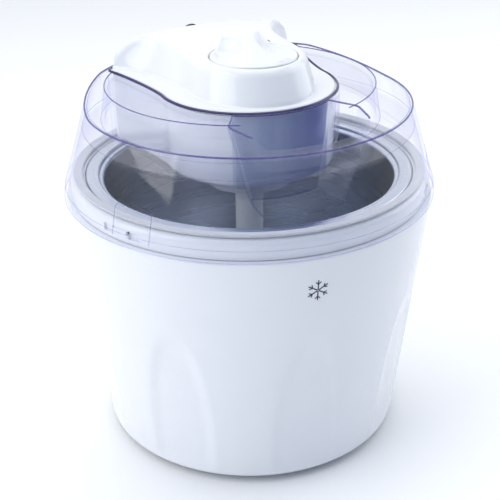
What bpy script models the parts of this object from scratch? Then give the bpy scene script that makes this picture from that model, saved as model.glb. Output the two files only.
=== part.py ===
"""Ice cream maker: fluted body, freezer bowl, clear lid with a chute, and a motor unit on top.

Lengths here are millimetres and MM turns them into metres. +Z is up, the front faces -Y and
the origin is on the floor below the drive axis. The lid, the motor unit and the drive hang
from an empty that is turned by LID_TURN, because the lid rests unlocked.
"""

import math

import bmesh
import bpy

MM = 0.001
ROUND = 48
LID_ROUND = 64
SMALL_ROUND = 16
GAP = 0.3

# Body and feet
FOOT_HEIGHT = 4.0
BODY_TOP = 147.0
BODY_BOTTOM_RADIUS = 87.6
BODY_TOP_RADIUS = 103.7
BODY_COLUMNS = 80
FLUTES = 8
FLUTE_DEPTH = 2.4
FLUTE_HALF_ANGLE = math.radians(12.9)
FLUTE_SPRING = 24.0
FLUTE_RISE = 78.0
BODY_THICKNESS = 4.6
FOOT_CIRCLE = 66.0
BOSS_CIRCLE = 76.0
LINER_FLOOR = 24.0

# Collar and freezer bowl
COLLAR_TOP = 158.0
COLLAR_RADIUS = 100.6
LUG_RADIUS = 101.6
BOWL_RIM_RADIUS = 92.2
BOWL_FLOOR = 45.5
SHEET = 1.2

# Clear lid
LID_TURN = math.radians(5.0)
LID_WALL = 2.0
SKIRT_BOTTOM = 147.4
SKIRT_RADIUS = 105.0
CONE_FOOT_Z = 154.0
CONE_FOOT_RADIUS = 104.0
CONE_SLOPE = 0.309
RIM_FRONT = 197.0
RIM_BACK = 205.0
DECK_TOP = 186.0
PLATFORM_TOP = 205.0
DRUM_FOOT_RADIUS = 78.6
DRUM_TOP_RADIUS = 75.7
DRUM_OFFSET = 10.5
WELL_FLOOR = 162.4
BOSS_RADIUS = 27.5
BOSS_BOTTOM = 148.0
CHUTE_BOTTOM = 158.0
CHUTE_BACK_RADIUS = 51.0

# Motor unit
NOSE_RADIUS = 48.0
FLANGE_BACK_RADIUS = 83.5
FLANGE_TIP_Y = 60.5
FLANGE_TOP = 205.8
COVER_TOP = 223.0
COVER_SLOPE = 0.0165
COVER_WALL = 2.2
KNOB_Y = -7.9
KNOB_RADIUS = 23.7
KNOB_TOP = 232.0
GLAND_Z = 213.5

# Drive
GEAR_TEETH = 42
PINION_TEETH = 14
MODULE = 1.0
PRESSURE_ANGLE = math.radians(25.0)
BACKLASH = 0.16
CENTRE_DISTANCE = MODULE * (GEAR_TEETH + PINION_TEETH) / 2
GEAR_BOTTOM = 167.0
GEAR_TOP = 172.0
PLATE_BOTTOM = 174.5
PLATE_TOP = 177.0
SHAFT_RADIUS = 4.0
PADDLE_ANGLE = math.radians(-19.5)
PADDLE_TOP = 146.0
STEM_RADIUS = 8.0


# ---------------------------------------------------------------- tools


def clear_scene():
    for obj in list(bpy.data.objects):
        bpy.data.objects.remove(obj, do_unlink=True)


def material(name, colour, roughness, metallic=0.0, alpha=1.0):
    made = bpy.data.materials.new(name)
    made.use_nodes = True
    shader = made.node_tree.nodes["Principled BSDF"]
    shader.inputs["Base Color"].default_value = (*colour, 1.0)
    shader.inputs["Roughness"].default_value = roughness
    shader.inputs["Metallic"].default_value = metallic
    shader.inputs["Alpha"].default_value = alpha
    return made


def empty(name, turn=0.0):
    made = bpy.data.objects.new(name, None)
    bpy.context.scene.collection.objects.link(made)
    made.rotation_euler = (0.0, 0.0, turn)
    return made


def add(name, bm, look, parent=None, at=(0.0, 0.0)):
    """Make an object from a bmesh, with its origin at (x, y) of its parent's frame."""
    bmesh.ops.remove_doubles(bm, verts=bm.verts, dist=1e-7)
    bmesh.ops.recalc_face_normals(bm, faces=bm.faces)
    mesh = bpy.data.meshes.new(name)
    bm.to_mesh(mesh)
    bm.free()
    mesh.polygons.foreach_set("use_smooth", [True] * len(mesh.polygons))
    mesh.set_sharp_from_angle(angle=math.radians(35))
    if look:
        mesh.materials.append(look)
    made = bpy.data.objects.new(name, mesh)
    bpy.context.scene.collection.objects.link(made)
    made.parent = parent
    made.location = (at[0] * MM, at[1] * MM, 0.0)
    return made


def combine(target, bm, operation, at=(0.0, 0.0)):
    """Join a shape to an object, or cut it away, with a Boolean modifier."""
    count = len(target.modifiers) + 1
    tool = add(f"{target.name}.tool{count}", bm, None, target.parent, at)
    tool.hide_render = True
    tool.display_type = "WIRE"
    step = target.modifiers.new(f"step{count}", "BOOLEAN")
    step.operation = operation
    step.object = tool


def fuse(target, bm, at=(0.0, 0.0)):
    combine(target, bm, "UNION", at)


def cut(target, bm, at=(0.0, 0.0)):
    combine(target, bm, "DIFFERENCE", at)


def merge(shapes):
    """Put several separate shapes into one bmesh."""
    whole = bmesh.new()
    for shape in shapes:
        mesh = bpy.data.meshes.new("shape")
        shape.to_mesh(mesh)
        shape.free()
        whole.from_mesh(mesh)
        bpy.data.meshes.remove(mesh)
    return whole


def revolve(profile, closed=True, steps=ROUND):
    """Spin an (r, z) profile about Z. An open profile starts and ends on the axis."""
    bm = bmesh.new()
    verts = [bm.verts.new((r * MM, 0.0, z * MM)) for r, z in profile]
    ends = verts[1:] + verts[:1] if closed else verts[1:]
    edges = [bm.edges.new(pair) for pair in zip(verts, ends)]
    bmesh.ops.spin(
        bm,
        geom=verts + edges,
        cent=(0.0, 0.0, 0.0),
        axis=(0.0, 0.0, 1.0),
        dvec=(0.0, 0.0, 0.0),
        angle=math.tau,
        steps=steps,
        use_merge=True,
    )
    bmesh.ops.remove_doubles(bm, verts=bm.verts, dist=1e-6)
    return bm


def loft(sections):
    """Close a solid over a stack of outlines that have the same number of points."""
    bm = bmesh.new()
    rings = [[bm.verts.new((x * MM, y * MM, z * MM)) for x, y, z in points] for points in sections]
    for low, high in zip(rings, rings[1:]):
        for i in range(len(low)):
            j = (i + 1) % len(low)
            bm.faces.new((low[i], low[j], high[j], high[i]))
    bm.faces.new(list(reversed(rings[0])))
    bm.faces.new(rings[-1])
    return bm


def prism(outline, z_low, z_high):
    return loft([[(x, y, z) for x, y in outline] for z in (z_low, z_high)])


def polar(radius, angle):
    return (radius * math.cos(angle), radius * math.sin(angle))


def circle(radius, centre=(0.0, 0.0), steps=SMALL_ROUND):
    angles = [math.tau * i / steps for i in range(steps)]
    return [(centre[0] + radius * math.cos(a), centre[1] + radius * math.sin(a)) for a in angles]


def cylinder(radius, z_low, z_high, centre=(0.0, 0.0), steps=SMALL_ROUND):
    return prism(circle(radius, centre, steps), z_low, z_high)


def rectangle(x_low, x_high, y_low, y_high):
    return [(x_low, y_low), (x_high, y_low), (x_high, y_high), (x_low, y_high)]


def side_prism(outline, x_low, x_high):
    """A solid whose (y, z) outline runs along X."""
    return loft([[(x, y, z) for y, z in outline] for x in (x_low, x_high)])


def arc(radius, start, end, steps, centre=(0.0, 0.0)):
    angles = [start + (end - start) * i / steps for i in range(steps + 1)]
    return [(centre[0] + radius * math.cos(a), centre[1] + radius * math.sin(a)) for a in angles]


def polar_block(radius_low, radius_high, angle, half_angle, z_low, z_high):
    """A short block that bends round the axis, for lugs, nubs and pockets."""
    outer = arc(radius_high, angle - half_angle, angle + half_angle, 4)
    inner = arc(radius_low, angle + half_angle, angle - half_angle, 4)
    return prism(outer + inner, z_low, z_high)


def screw_shape(x, y, head_radius, head_low, head_high, shank_radius, tip):
    """A pan-head screw along Z. Its shank starts at the head's face that is nearer the tip."""
    profile = [(0.0, head_low), (head_radius, head_low), (head_radius, head_high), (0.0, head_high)]
    shank = (shank_radius, head_high if tip > head_high else head_low)
    if tip > head_high:
        profile[3:] = [shank, (shank_radius, tip), (0.0, tip)]
    else:
        profile[:1] = [(0.0, tip), (shank_radius, tip), shank]
    bm = revolve(profile, closed=False, steps=SMALL_ROUND)
    bmesh.ops.translate(bm, verts=bm.verts, vec=(x * MM, y * MM, 0.0))
    return bm


# ---------------------------------------------------------------- base


def body_radius(z):
    share = (z - FOOT_HEIGHT) / (BODY_TOP - FOOT_HEIGHT)
    return BODY_BOTTOM_RADIUS + (BODY_TOP_RADIUS - BODY_BOTTOM_RADIUS) * share


def flute_depth(angle, z):
    """How far the arched flutes sink the wall at an angle and a height."""
    rise = max(z - FLUTE_SPRING, 0.0) / FLUTE_RISE
    if rise >= 1.0:
        return 0.0
    half = FLUTE_HALF_ANGLE * math.sqrt(1.0 - rise * rise)
    pitch = math.tau / FLUTES
    offset = abs((angle + math.pi / 2 + pitch / 2) % pitch - pitch / 2)
    if offset >= half:
        return 0.0
    return FLUTE_DEPTH * (1.0 - (offset / half) ** 3)


def outer_body(white):
    flute_rows = [10.0, 24.0, 42.0, 60.0, 75.0, 88.0, 96.0, 103.0]
    sections = []
    angles = [math.tau * i / BODY_COLUMNS for i in range(BODY_COLUMNS)]

    def ring(radius, z):
        sections.append([(radius * math.cos(a), radius * math.sin(a), z) for a in angles])

    for z in (BODY_TOP - 2.6, FOOT_HEIGHT + 1.0):
        ring(body_radius(z) - BODY_THICKNESS, z)
    ring(body_radius(FOOT_HEIGHT) - BODY_THICKNESS + 1.0, FOOT_HEIGHT)
    ring(body_radius(FOOT_HEIGHT) - 2.0, FOOT_HEIGHT)
    ring(body_radius(FOOT_HEIGHT) - 0.5, FOOT_HEIGHT + 1.2)
    for z in flute_rows:
        radii = [body_radius(z) - flute_depth(a, z) for a in angles]
        sections.append([(r * math.cos(a), r * math.sin(a), z) for r, a in zip(radii, angles)])
    ring(body_radius(BODY_TOP - 1.2), BODY_TOP - 1.2)
    ring(BODY_TOP_RADIUS - 1.2, BODY_TOP)
    ring(94.0, BODY_TOP)
    ring(94.0, BODY_TOP - 2.6)
    bm = bmesh.new()
    rings = [[bm.verts.new((x * MM, y * MM, z * MM)) for x, y, z in points] for points in sections]
    for low, high in zip(rings, rings[1:] + rings[:1]):
        for i in range(BODY_COLUMNS):
            j = (i + 1) % BODY_COLUMNS
            bm.faces.new((low[i], low[j], high[j], high[i]))
    body = add("outer_body", bm, white)
    posts = []
    holes = []
    for k in range(4):
        angle = math.pi / 4 + k * math.pi / 2
        x = BOSS_CIRCLE * math.cos(angle)
        y = BOSS_CIRCLE * math.sin(angle)
        posts.append(polar_block(BOSS_CIRCLE - 4.5, 84.5, angle, math.radians(3.6), 8.6, 20.0))
        holes.append(cylinder(1.9, 7.0, 18.0, (x, y), 12))
    fuse(body, merge(posts))
    cut(body, merge(holes))


def base_parts(white, dark, rubber, steel):
    outer_body(white)
    plate = add("base_plate", revolve([(0.0, 5.6), (82.4, 5.6), (82.4, 8.2), (0.0, 8.2)], False), white)
    holes = []
    for k in range(4):
        foot_angle = k * math.pi / 2
        x = FOOT_CIRCLE * math.cos(foot_angle)
        y = FOOT_CIRCLE * math.sin(foot_angle)
        holes.append(cylinder(3.4, 4.0, 10.0, (x, y)))
        profile = [(0.0, 0.0), (8.0, 0.0), (9.0, 1.0), (9.0, 5.3), (3.0, 5.3), (3.0, 9.6), (0.0, 9.6)]
        foot = revolve(profile, closed=False, steps=SMALL_ROUND)
        add(f"rubber_foot_{k + 1}", foot, rubber, at=(x, y))
        screw_angle = math.pi / 4 + k * math.pi / 2
        x = BOSS_CIRCLE * math.cos(screw_angle)
        y = BOSS_CIRCLE * math.sin(screw_angle)
        holes.append(cylinder(1.9, 4.0, 10.0, (x, y), 12))
        screw = screw_shape(0.0, 0.0, 3.2, 3.4, 5.3, 1.6, 16.0)
        add(f"base_screw_{k + 1}", screw, steel, at=(x, y))
    cut(plate, merge(holes))

    liner = [
        (0.0, LINER_FLOOR - 1.6),
        (84.4, LINER_FLOOR - 1.6),
        (84.9, LINER_FLOOR + 3.0),
        (89.9, BODY_TOP + 0.4),
        (99.5, BODY_TOP + 0.4),
        (99.5, BODY_TOP + 2.0),
        (88.4, BODY_TOP + 2.0),
        (83.4, LINER_FLOOR + 2.0),
        (82.0, LINER_FLOOR),
        (0.0, LINER_FLOOR),
    ]
    add("inner_liner", revolve(liner, closed=False), dark)
    collar(white)


def lock_angles():
    """The three bayonet places, measured like every angle here from +X."""
    return [-math.pi / 2 + turn for turn in (-math.pi / 3, math.pi / 3, math.pi)]


def collar(white):
    profile = [
        (COLLAR_RADIUS, BODY_TOP + 0.4),
        (COLLAR_RADIUS, COLLAR_TOP - 3.4),
        (COLLAR_RADIUS - 0.9, COLLAR_TOP - 1.2),
        (COLLAR_RADIUS - 2.8, COLLAR_TOP),
        (92.8, COLLAR_TOP),
        (92.8, COLLAR_TOP - 2.8),
        (88.9, COLLAR_TOP - 2.8),
        (88.9, BODY_TOP + 2.4),
        (COLLAR_RADIUS - 0.7, BODY_TOP + 2.4),
        (COLLAR_RADIUS - 0.7, BODY_TOP + 0.4),
    ]
    ring = add("collar_ring", revolve(profile), white)
    lugs = []
    pockets = []
    for angle in lock_angles():
        lugs.append(polar_block(99.0, LUG_RADIUS, angle, math.radians(2.6), 151.9, 154.3))
        for side in (-1, 1):
            middle = angle + side * math.radians(5.3)
            pockets.append(polar_block(99.4, 103.0, middle, math.radians(2.3), 149.9, 153.7))
    cut(ring, merge(pockets))
    fuse(ring, merge(lugs))


# ---------------------------------------------------------------- freezer bowl


def bowl_parts(aluminium, steel, gel, rubber):
    top = COLLAR_TOP + 0.1
    pan = [
        (BOWL_RIM_RADIUS, top - 2.2),
        (BOWL_RIM_RADIUS, top - 0.5),
        (BOWL_RIM_RADIUS - 0.6, top),
        (84.6, top),
        (84.2, top - 2.0),
        (82.2, top - 2.6),
        (75.8, BOWL_FLOOR + 12.0),
        (72.4, BOWL_FLOOR + 4.0),
        (64.0, BOWL_FLOOR),
        (9.0, BOWL_FLOOR),
        (5.0, BOWL_FLOOR + 1.6),
        (0.0, BOWL_FLOOR + 1.8),
    ]
    under = [
        (0.0, BOWL_FLOOR - SHEET + 1.8),
        (4.6, BOWL_FLOOR - SHEET + 1.6),
        (8.6, BOWL_FLOOR - SHEET),
        (64.4, BOWL_FLOOR - SHEET),
        (73.4, BOWL_FLOOR + 3.2),
        (77.0, BOWL_FLOOR + 11.6),
        (83.3, top - 3.6),
        (86.0, top - 2.2),
    ]
    # The profile starts and ends on the axis, so the rim's points come in the middle.
    path = list(reversed(pan)) + list(reversed(under))
    add("bowl_inner_pan", revolve(path, closed=False), aluminium)

    jacket = [(87.6, top - 2.6), (82.3, 28.0), (81.2, 28.0), (86.5, top - 2.6)]
    add("bowl_outer_jacket", revolve(jacket), aluminium)

    cap = [(6.2, 24.4), (81.8, 24.4), (82.3, 27.6), (80.9, 27.6), (80.6, 26.0), (6.2, 26.0)]
    add("bowl_bottom_cap", revolve(cap), steel)
    plug = [(0.0, 24.7), (5.8, 24.7), (5.8, 26.3), (8.0, 26.3), (7.0, 27.6), (0.0, 27.6)]
    add("gel_fill_plug", revolve(plug, closed=False, steps=SMALL_ROUND), rubber)

    filling = [
        (0.0, 28.3),
        (80.6, 28.3),
        (85.8, 150.0),
        (83.7, 150.0),
        (77.6, BOWL_FLOOR + 11.0),
        (73.8, BOWL_FLOOR + 2.4),
        (64.8, BOWL_FLOOR - 1.9),
        (0.0, BOWL_FLOOR - 1.9),
    ]
    add("cooling_gel", revolve(filling, closed=False), gel)


def lid_seal(silicone):
    profile = [
        (93.8, COLLAR_TOP + 0.3),
        (97.4, COLLAR_TOP + 0.3),
        (99.2, COLLAR_TOP + 1.9),
        (98.7, COLLAR_TOP + 2.6),
        (97.0, COLLAR_TOP + 2.1),
        (93.8, COLLAR_TOP + 2.1),
    ]
    add("lid_seal", revolve(profile), silicone)


# ---------------------------------------------------------------- clear lid


def cone_radius(z):
    return CONE_FOOT_RADIUS - CONE_SLOPE * (z - CONE_FOOT_Z)


def flank(y):
    """Half-width of the motor unit's flange behind its round nose."""
    behind = y - 4.0
    return 47.6 + 0.104 * behind + 0.00176 * behind * behind


def flange_outline(grow):
    """The motor unit's plan outline, grown or shrunk all round."""
    nose = arc(NOSE_RADIUS + grow, -math.pi / 2, math.radians(4.8), 9)
    sides = [(flank(y) + grow, y) for y in (17.0, 30.0, 42.0, 52.0)]
    back_radius = FLANGE_BACK_RADIUS + grow
    tip_x = flank(FLANGE_TIP_Y - 3.0) + grow
    tip = [(tip_x, FLANGE_TIP_Y - 3.0)]
    start = math.atan2(FLANGE_TIP_Y + 2.0, tip_x - 3.5)
    back = arc(back_radius, start, math.pi / 2, 6)
    right = nose + sides + tip + back
    left = [(-x, y) for x, y in reversed(right[1:-1])]
    return right + left


def chute_section(z, grow):
    """Outline of the chute at a height: a curved back, slanting sides and a curved front."""
    share = (z - CHUTE_BOTTOM) / (PLATFORM_TOP - CHUTE_BOTTOM)
    back_half = 19.0 + 7.0 * share + grow
    front_half = 24.5 + 10.3 * share + grow
    back_radius = CHUTE_BACK_RADIUS - 0.75 * grow
    front_radius = 67.5 + 25.0 * share + grow
    back_turn = math.asin(back_half / back_radius)
    front_turn = math.asin(front_half / front_radius)
    corner = math.radians(2.2)
    middle = -math.pi / 2
    front = arc(front_radius, middle - front_turn + corner, middle + front_turn - corner, 6)
    right = [polar(front_radius - 3.5, middle + front_turn)]
    back = arc(back_radius, middle + back_turn, middle - back_turn, 4)
    left = [polar(front_radius - 3.5, middle - front_turn)]
    return [(x, y, z) for x, y in front + right + back + left]


def drum(shrink, z_low, z_high):
    slope = (DRUM_TOP_RADIUS - DRUM_FOOT_RADIUS) / (PLATFORM_TOP - DECK_TOP)
    sections = []
    for z in (z_low, z_high):
        radius = DRUM_FOOT_RADIUS + slope * (z - DECK_TOP) - shrink
        points = circle(radius, (0.0, DRUM_OFFSET), LID_ROUND)
        sections.append([(x, y, z) for x, y in points])
    return loft(sections)


def lid(clear, frame):
    inner = LID_WALL
    wall = [
        (SKIRT_RADIUS, SKIRT_BOTTOM),
        (CONE_FOOT_RADIUS, CONE_FOOT_Z),
        (cone_radius(RIM_BACK), RIM_BACK),
        (cone_radius(RIM_BACK) - inner, RIM_BACK),
        (CONE_FOOT_RADIUS - inner, CONE_FOOT_Z),
        (SKIRT_RADIUS - inner - 0.3, SKIRT_BOTTOM),
    ]
    shell = add("clear_lid", revolve(wall, steps=LID_ROUND + 8), clear, frame)
    rim_line = [
        (-120.0, RIM_FRONT),
        (20.0, RIM_FRONT),
        (50.0, RIM_FRONT + 2.0),
        (74.0, RIM_FRONT + 6.4),
        (84.0, RIM_BACK + 0.6),
        (84.0, RIM_BACK + 20.0),
        (-120.0, RIM_BACK + 20.0),
    ]
    cut(shell, side_prism(rim_line, -120.0, 120.0))
    fuse(shell, cylinder(cone_radius(DECK_TOP) - 0.9, DECK_TOP - LID_WALL, DECK_TOP, steps=LID_ROUND))
    fuse(shell, drum(0.0, DECK_TOP - 1.3, PLATFORM_TOP - 0.1))
    cut(shell, drum(LID_WALL, DECK_TOP - 5.0, PLATFORM_TOP - LID_WALL - 0.1))
    fuse(shell, prism(flange_outline(2.6), WELL_FLOOR - LID_WALL, PLATFORM_TOP - 0.3))
    fuse(shell, cylinder(BOSS_RADIUS, BOSS_BOTTOM, WELL_FLOOR - 1.0, steps=32))
    fuse(shell, loft([chute_section(z, 2.0) for z in (CHUTE_BOTTOM, PLATFORM_TOP - 0.5)]))
    lip_line = [
        (-66.0, PLATFORM_TOP - 0.2),
        (-87.0, RIM_FRONT + 0.5),
        (-120.0, RIM_FRONT + 0.5),
        (-120.0, PLATFORM_TOP + 20.0),
        (-66.0, PLATFORM_TOP + 20.0),
    ]
    cut(shell, side_prism(lip_line, -45.0, 45.0))
    cut(shell, prism(flange_outline(0.6), WELL_FLOOR, PLATFORM_TOP + 20.0))
    cut(shell, cylinder(BOSS_RADIUS - LID_WALL, BOSS_BOTTOM + LID_WALL, WELL_FLOOR + 1.0, steps=32))
    cut(shell, cylinder(6.6, BOSS_BOTTOM - 3.0, BOSS_BOTTOM + 5.0))
    cut(shell, loft([chute_section(z, 0.0) for z in (CHUTE_BOTTOM - 4.0, PLATFORM_TOP + 6.0)]))
    nubs = [
        polar_block(100.95, 103.6, angle, math.radians(2.0), 148.9, 151.5)
        for angle in lock_angles()
    ]
    fuse(shell, merge(nubs))


# ---------------------------------------------------------------- motor unit


def housing_outline(top, grow):
    """Plan outline of the raised housing at its foot (top = 0) or its crown (top = 1)."""
    half = 36.0 - 5.0 * top + grow
    nose = 41.0 - 5.5 * top + grow
    flare_start = 25.0 * (1.0 - top)
    tip_x = 49.0 - 6.2 * top + grow
    tip_y = 62.0 - 8.0 * top
    back = 76.0 - 11.0 * top + grow
    right = []
    for k in range(9):
        angle = -math.pi / 2 + k * math.pi / 16
        right.append((half * math.cos(angle), nose * math.sin(angle)))
    for k in range(1, 8):
        share = k / 7
        y = flare_start + (tip_y - flare_start) * share
        right.append((half + (tip_x - half) * share**3.5, y))
    for share in (0.93, 0.72, 0.48, 0.24, 0.0):
        y = back - (back - tip_y - 2.5) * share * share
        right.append((tip_x * share, y))
    left = [(-x, y) for x, y in reversed(right[1:-1])]
    return right + left


def housing_section(top, z, grow=0.0):
    rise = COVER_SLOPE * max(min((z - FLANGE_TOP) / (COVER_TOP - FLANGE_TOP), 1.0), 0.0)
    return [(x, y, z + rise * (y + 35.0)) for x, y in housing_outline(top, grow)]


COVER_BOSSES = [(-40.5, 8.0), (40.5, 8.0), (-47.0, 50.0), (47.0, 50.0)]
PLATE_POSTS = [(-26.0, -22.0), (26.0, -22.0), (-26.0, 46.0), (26.0, 46.0)]


def top_cover(white, frame):
    shell = add("motor_top_cover", prism(flange_outline(0.0), FLANGE_TOP - 2.4, FLANGE_TOP), white, frame)
    outside = [(0.0, FLANGE_TOP - 1.0), (0.7, 217.5), (0.84, 220.6), (0.94, 222.2), (1.0, COVER_TOP)]
    fuse(shell, loft([housing_section(top, z) for top, z in outside]))
    fuse(shell, merge([cylinder(4.0, 175.3, FLANGE_TOP - 1.0, xy, 12) for xy in COVER_BOSSES]))
    inside = [(0.0, FLANGE_TOP - 6.0), (0.0, FLANGE_TOP - 1.0), (0.8, 218.0), (0.92, 219.4)]
    cut(shell, loft([housing_section(top, z, -COVER_WALL) for top, z in inside]))
    cut(shell, cylinder(KNOB_RADIUS + 0.6, 221.6, 230.0, (0.0, KNOB_Y), 40))
    cut(shell, cylinder(4.4, 215.0, 230.0, (0.0, KNOB_Y)))
    cut(shell, merge([cylinder(1.7, 170.0, 192.0, xy, 12) for xy in COVER_BOSSES]))
    cut(shell, gland_shape(5.4, 60.0, 90.0))


def gland_shape(radius, y_low, y_high):
    """A round bar along Y at the place where the supply cord leaves the cover."""
    ring = [(x, GLAND_Z + z) for x, z in circle(radius)]
    return loft([[(x, y, z) for x, z in ring] for y in (y_low, y_high)])


def lower_housing(white, frame):
    shell = prism(flange_outline(-0.5), WELL_FLOOR + 0.6, FLANGE_TOP - 2.8)
    housing = add("motor_lower_housing", shell, white, frame)
    fuse(housing, cylinder(BOSS_RADIUS - 2.6, BOSS_BOTTOM + 2.5, WELL_FLOOR + 1.5, steps=32))
    cut(housing, prism(flange_outline(-2.7), WELL_FLOOR + 2.8, FLANGE_TOP + 5.0))
    cut(housing, cylinder(BOSS_RADIUS - 4.8, BOSS_BOTTOM + 4.7, WELL_FLOOR + 5.0, steps=32))
    posts = [cylinder(4.6, WELL_FLOOR + 1.5, 175.0, xy, 12) for xy in COVER_BOSSES]
    posts += [cylinder(3.6, WELL_FLOOR + 1.5, PLATE_BOTTOM - GAP, xy, 12) for xy in PLATE_POSTS]
    fuse(housing, merge(posts))
    holes = [cylinder(3.3, WELL_FLOOR - 1.0, 171.9, xy, 12) for xy in COVER_BOSSES]
    cut(housing, merge(holes))
    holes = [cylinder(1.7, 170.0, 178.0, xy, 12) for xy in COVER_BOSSES]
    holes += [cylinder(1.7, 166.5, 178.0, xy, 12) for xy in PLATE_POSTS]
    cut(housing, merge(holes))
    cut(housing, cylinder(7.0, BOSS_BOTTOM, BOSS_BOTTOM + 8.0))


def motor_parts(white, black, steel, brass, zinc, frame):
    top_cover(white, frame)
    lower_housing(white, frame)

    gland = add("cord_gland", gland_shape(5.0, 66.0, 82.0), black, frame)
    fuse(gland, gland_shape(6.6, 76.6, 79.0))
    cut(gland, gland_shape(3.0, 55.0, 95.0))

    plate = add("gearbox_plate", prism(rectangle(-31.0, 31.0, -27.0, 51.0), PLATE_BOTTOM, PLATE_TOP), zinc, frame)
    holes = [cylinder(1.7, 170.0, 180.0, xy, 12) for xy in PLATE_POSTS]
    holes += [cylinder(4.3, 170.0, 180.0), cylinder(2.2, 170.0, 180.0, (0.0, CENTRE_DISTANCE), 12)]
    cut(plate, merge(holes))

    can = [(2.2, 177.3), (17.5, 177.3), (17.5, 203.0), (16.0, 204.6), (2.2, 204.6)]
    add("motor_can", revolve(can, steps=24), steel, frame, (0.0, CENTRE_DISTANCE))

    bush = [(4.3, BOSS_BOTTOM + 2.6), (6.7, BOSS_BOTTOM + 2.6), (6.7, 155.0), (9.5, 155.0), (9.5, 157.0), (4.3, 157.0)]
    add("shaft_bush", revolve(bush, steps=SMALL_ROUND), brass, frame)

    switch = add("rotary_switch", prism(rectangle(-12.0, 12.0, -12.0, 12.0), 207.5, 217.0), black, frame, (0.0, KNOB_Y))
    cut(switch, cylinder(3.4, 209.5, 225.0), (0.0, KNOB_Y))

    for k, (x, y) in enumerate(COVER_BOSSES):
        add(f"cover_screw_{k + 1}", screw_shape(0.0, 0.0, 2.9, 169.4, 171.6, 1.4, 189.0), steel, frame, (x, y))
    for k, (x, y) in enumerate(PLATE_POSTS):
        add(f"plate_screw_{k + 1}", screw_shape(0.0, 0.0, 2.9, 177.3, 179.3, 1.4, 167.5), steel, frame, (x, y))


def knob_parts(white, steel, frame):
    disc = [(0.0, 221.9), (22.4, 221.9), (KNOB_RADIUS, 223.0), (KNOB_RADIUS, 224.3), (22.6, 225.2), (0.0, 225.6)]
    knob = add("control_knob", revolve(disc, closed=False, steps=32), white, frame, (0.0, KNOB_Y))
    fin = [(-22.0, 223.5), (-21.0, 226.2), (12.0, KNOB_TOP - 1.0), (17.0, KNOB_TOP), (20.0, KNOB_TOP - 1.2), (22.4, 223.5)]
    fuse(knob, side_prism(fin, -6.2, 6.2), (0.0, KNOB_Y))
    cut(knob, cylinder(3.3, 220.0, 226.5), (0.0, KNOB_Y))
    spindle = cylinder(3.0, 210.0, 226.0, steps=SMALL_ROUND)
    add("knob_spindle", spindle, steel, frame, (0.0, KNOB_Y))


# ---------------------------------------------------------------- drive and paddle


def gear_outline(teeth, first_tooth):
    """Involute teeth, with one tooth centred at the angle first_tooth."""
    pitch = MODULE * teeth / 2
    base = pitch * math.cos(PRESSURE_ANGLE)
    half_at_pitch = (math.pi * MODULE / 2 - BACKLASH) / (2 * pitch)
    spread = math.tan(PRESSURE_ANGLE) - PRESSURE_ANGLE

    def half_angle(radius):
        roll = math.acos(min(base / radius, 1.0))
        return half_at_pitch + spread - (math.tan(roll) - roll)

    flank_radii = [pitch - 1.25 * MODULE, pitch, pitch + 0.95 * MODULE]
    points = []
    for k in range(teeth):
        centre = first_tooth + math.tau * k / teeth
        for radius in flank_radii:
            angle = centre - half_angle(radius)
            points.append((radius * math.cos(angle), radius * math.sin(angle)))
        for radius in reversed(flank_radii):
            angle = centre + half_angle(radius)
            points.append((radius * math.cos(angle), radius * math.sin(angle)))
    return points


def drive_parts(steel, nylon, frame, spin):
    rod = cylinder(SHAFT_RADIUS, PADDLE_TOP + 0.6, GEAR_TOP + 7.0)
    shaft = add("drive_shaft", rod, steel, spin)
    fuse(shaft, prism(rectangle(-2.8, 2.8, -2.8, 2.8), 122.0, PADDLE_TOP + 2.0))

    gear = add("output_gear", prism(gear_outline(GEAR_TEETH, math.pi / 2), GEAR_BOTTOM, GEAR_TOP), nylon, frame)
    fuse(gear, cylinder(8.0, 160.5, GEAR_TOP + 0.8))
    cut(gear, cylinder(SHAFT_RADIUS + 0.25, 158.0, 176.0))

    first = -math.pi / 2 + math.pi / PINION_TEETH
    teeth = prism(gear_outline(PINION_TEETH, first), GEAR_BOTTOM - 0.5, GEAR_TOP + 0.5)
    at = (0.0, CENTRE_DISTANCE)
    pinion = add("motor_pinion", teeth, nylon, frame, at)
    cut(pinion, cylinder(1.8, 160.0, 180.0, steps=12), at)
    add("motor_shaft", cylinder(1.5, 166.2, 183.0, steps=12), steel, frame, at)


def paddle(nylon, spin):
    """A flat stirring frame on a stem, with two windows on each side of the stem."""
    blade = [
        (-6.0, 111.0),
        (-66.0, 104.0),
        (-72.5, 98.0),
        (-69.5, 60.0),
        (-58.0, 49.5),
        (58.0, 49.5),
        (69.5, 60.0),
        (72.5, 98.0),
        (66.0, 104.0),
        (6.0, 111.0),
    ]
    half = 2.2
    stem = revolve([(0.0, 51.0), (STEM_RADIUS - 2.0, 51.0), (STEM_RADIUS, 110.0), (STEM_RADIUS, PADDLE_TOP), (0.0, PADDLE_TOP)], False, 24)
    made = add("paddle", stem, nylon, spin)
    fuse(made, loft([[(x, y, z) for x, z in blade] for y in (-half, half)]))
    windows = []
    for side in (-1, 1):
        lower = [(14.0, 58.0), (56.0, 58.0), (62.0, 64.0), (14.0, 74.0)]
        upper = [(14.0, 82.0), (63.0, 71.0), (65.0, 95.0), (14.0, 101.0)]
        for window in (lower, upper):
            windows.append(loft([[(side * x, y, z) for x, z in window] for y in (-5.0, 5.0)]))
    cut(made, merge(windows))
    cut(made, prism(rectangle(-3.4, 3.4, -3.4, 3.4), 120.0, 150.0))


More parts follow.
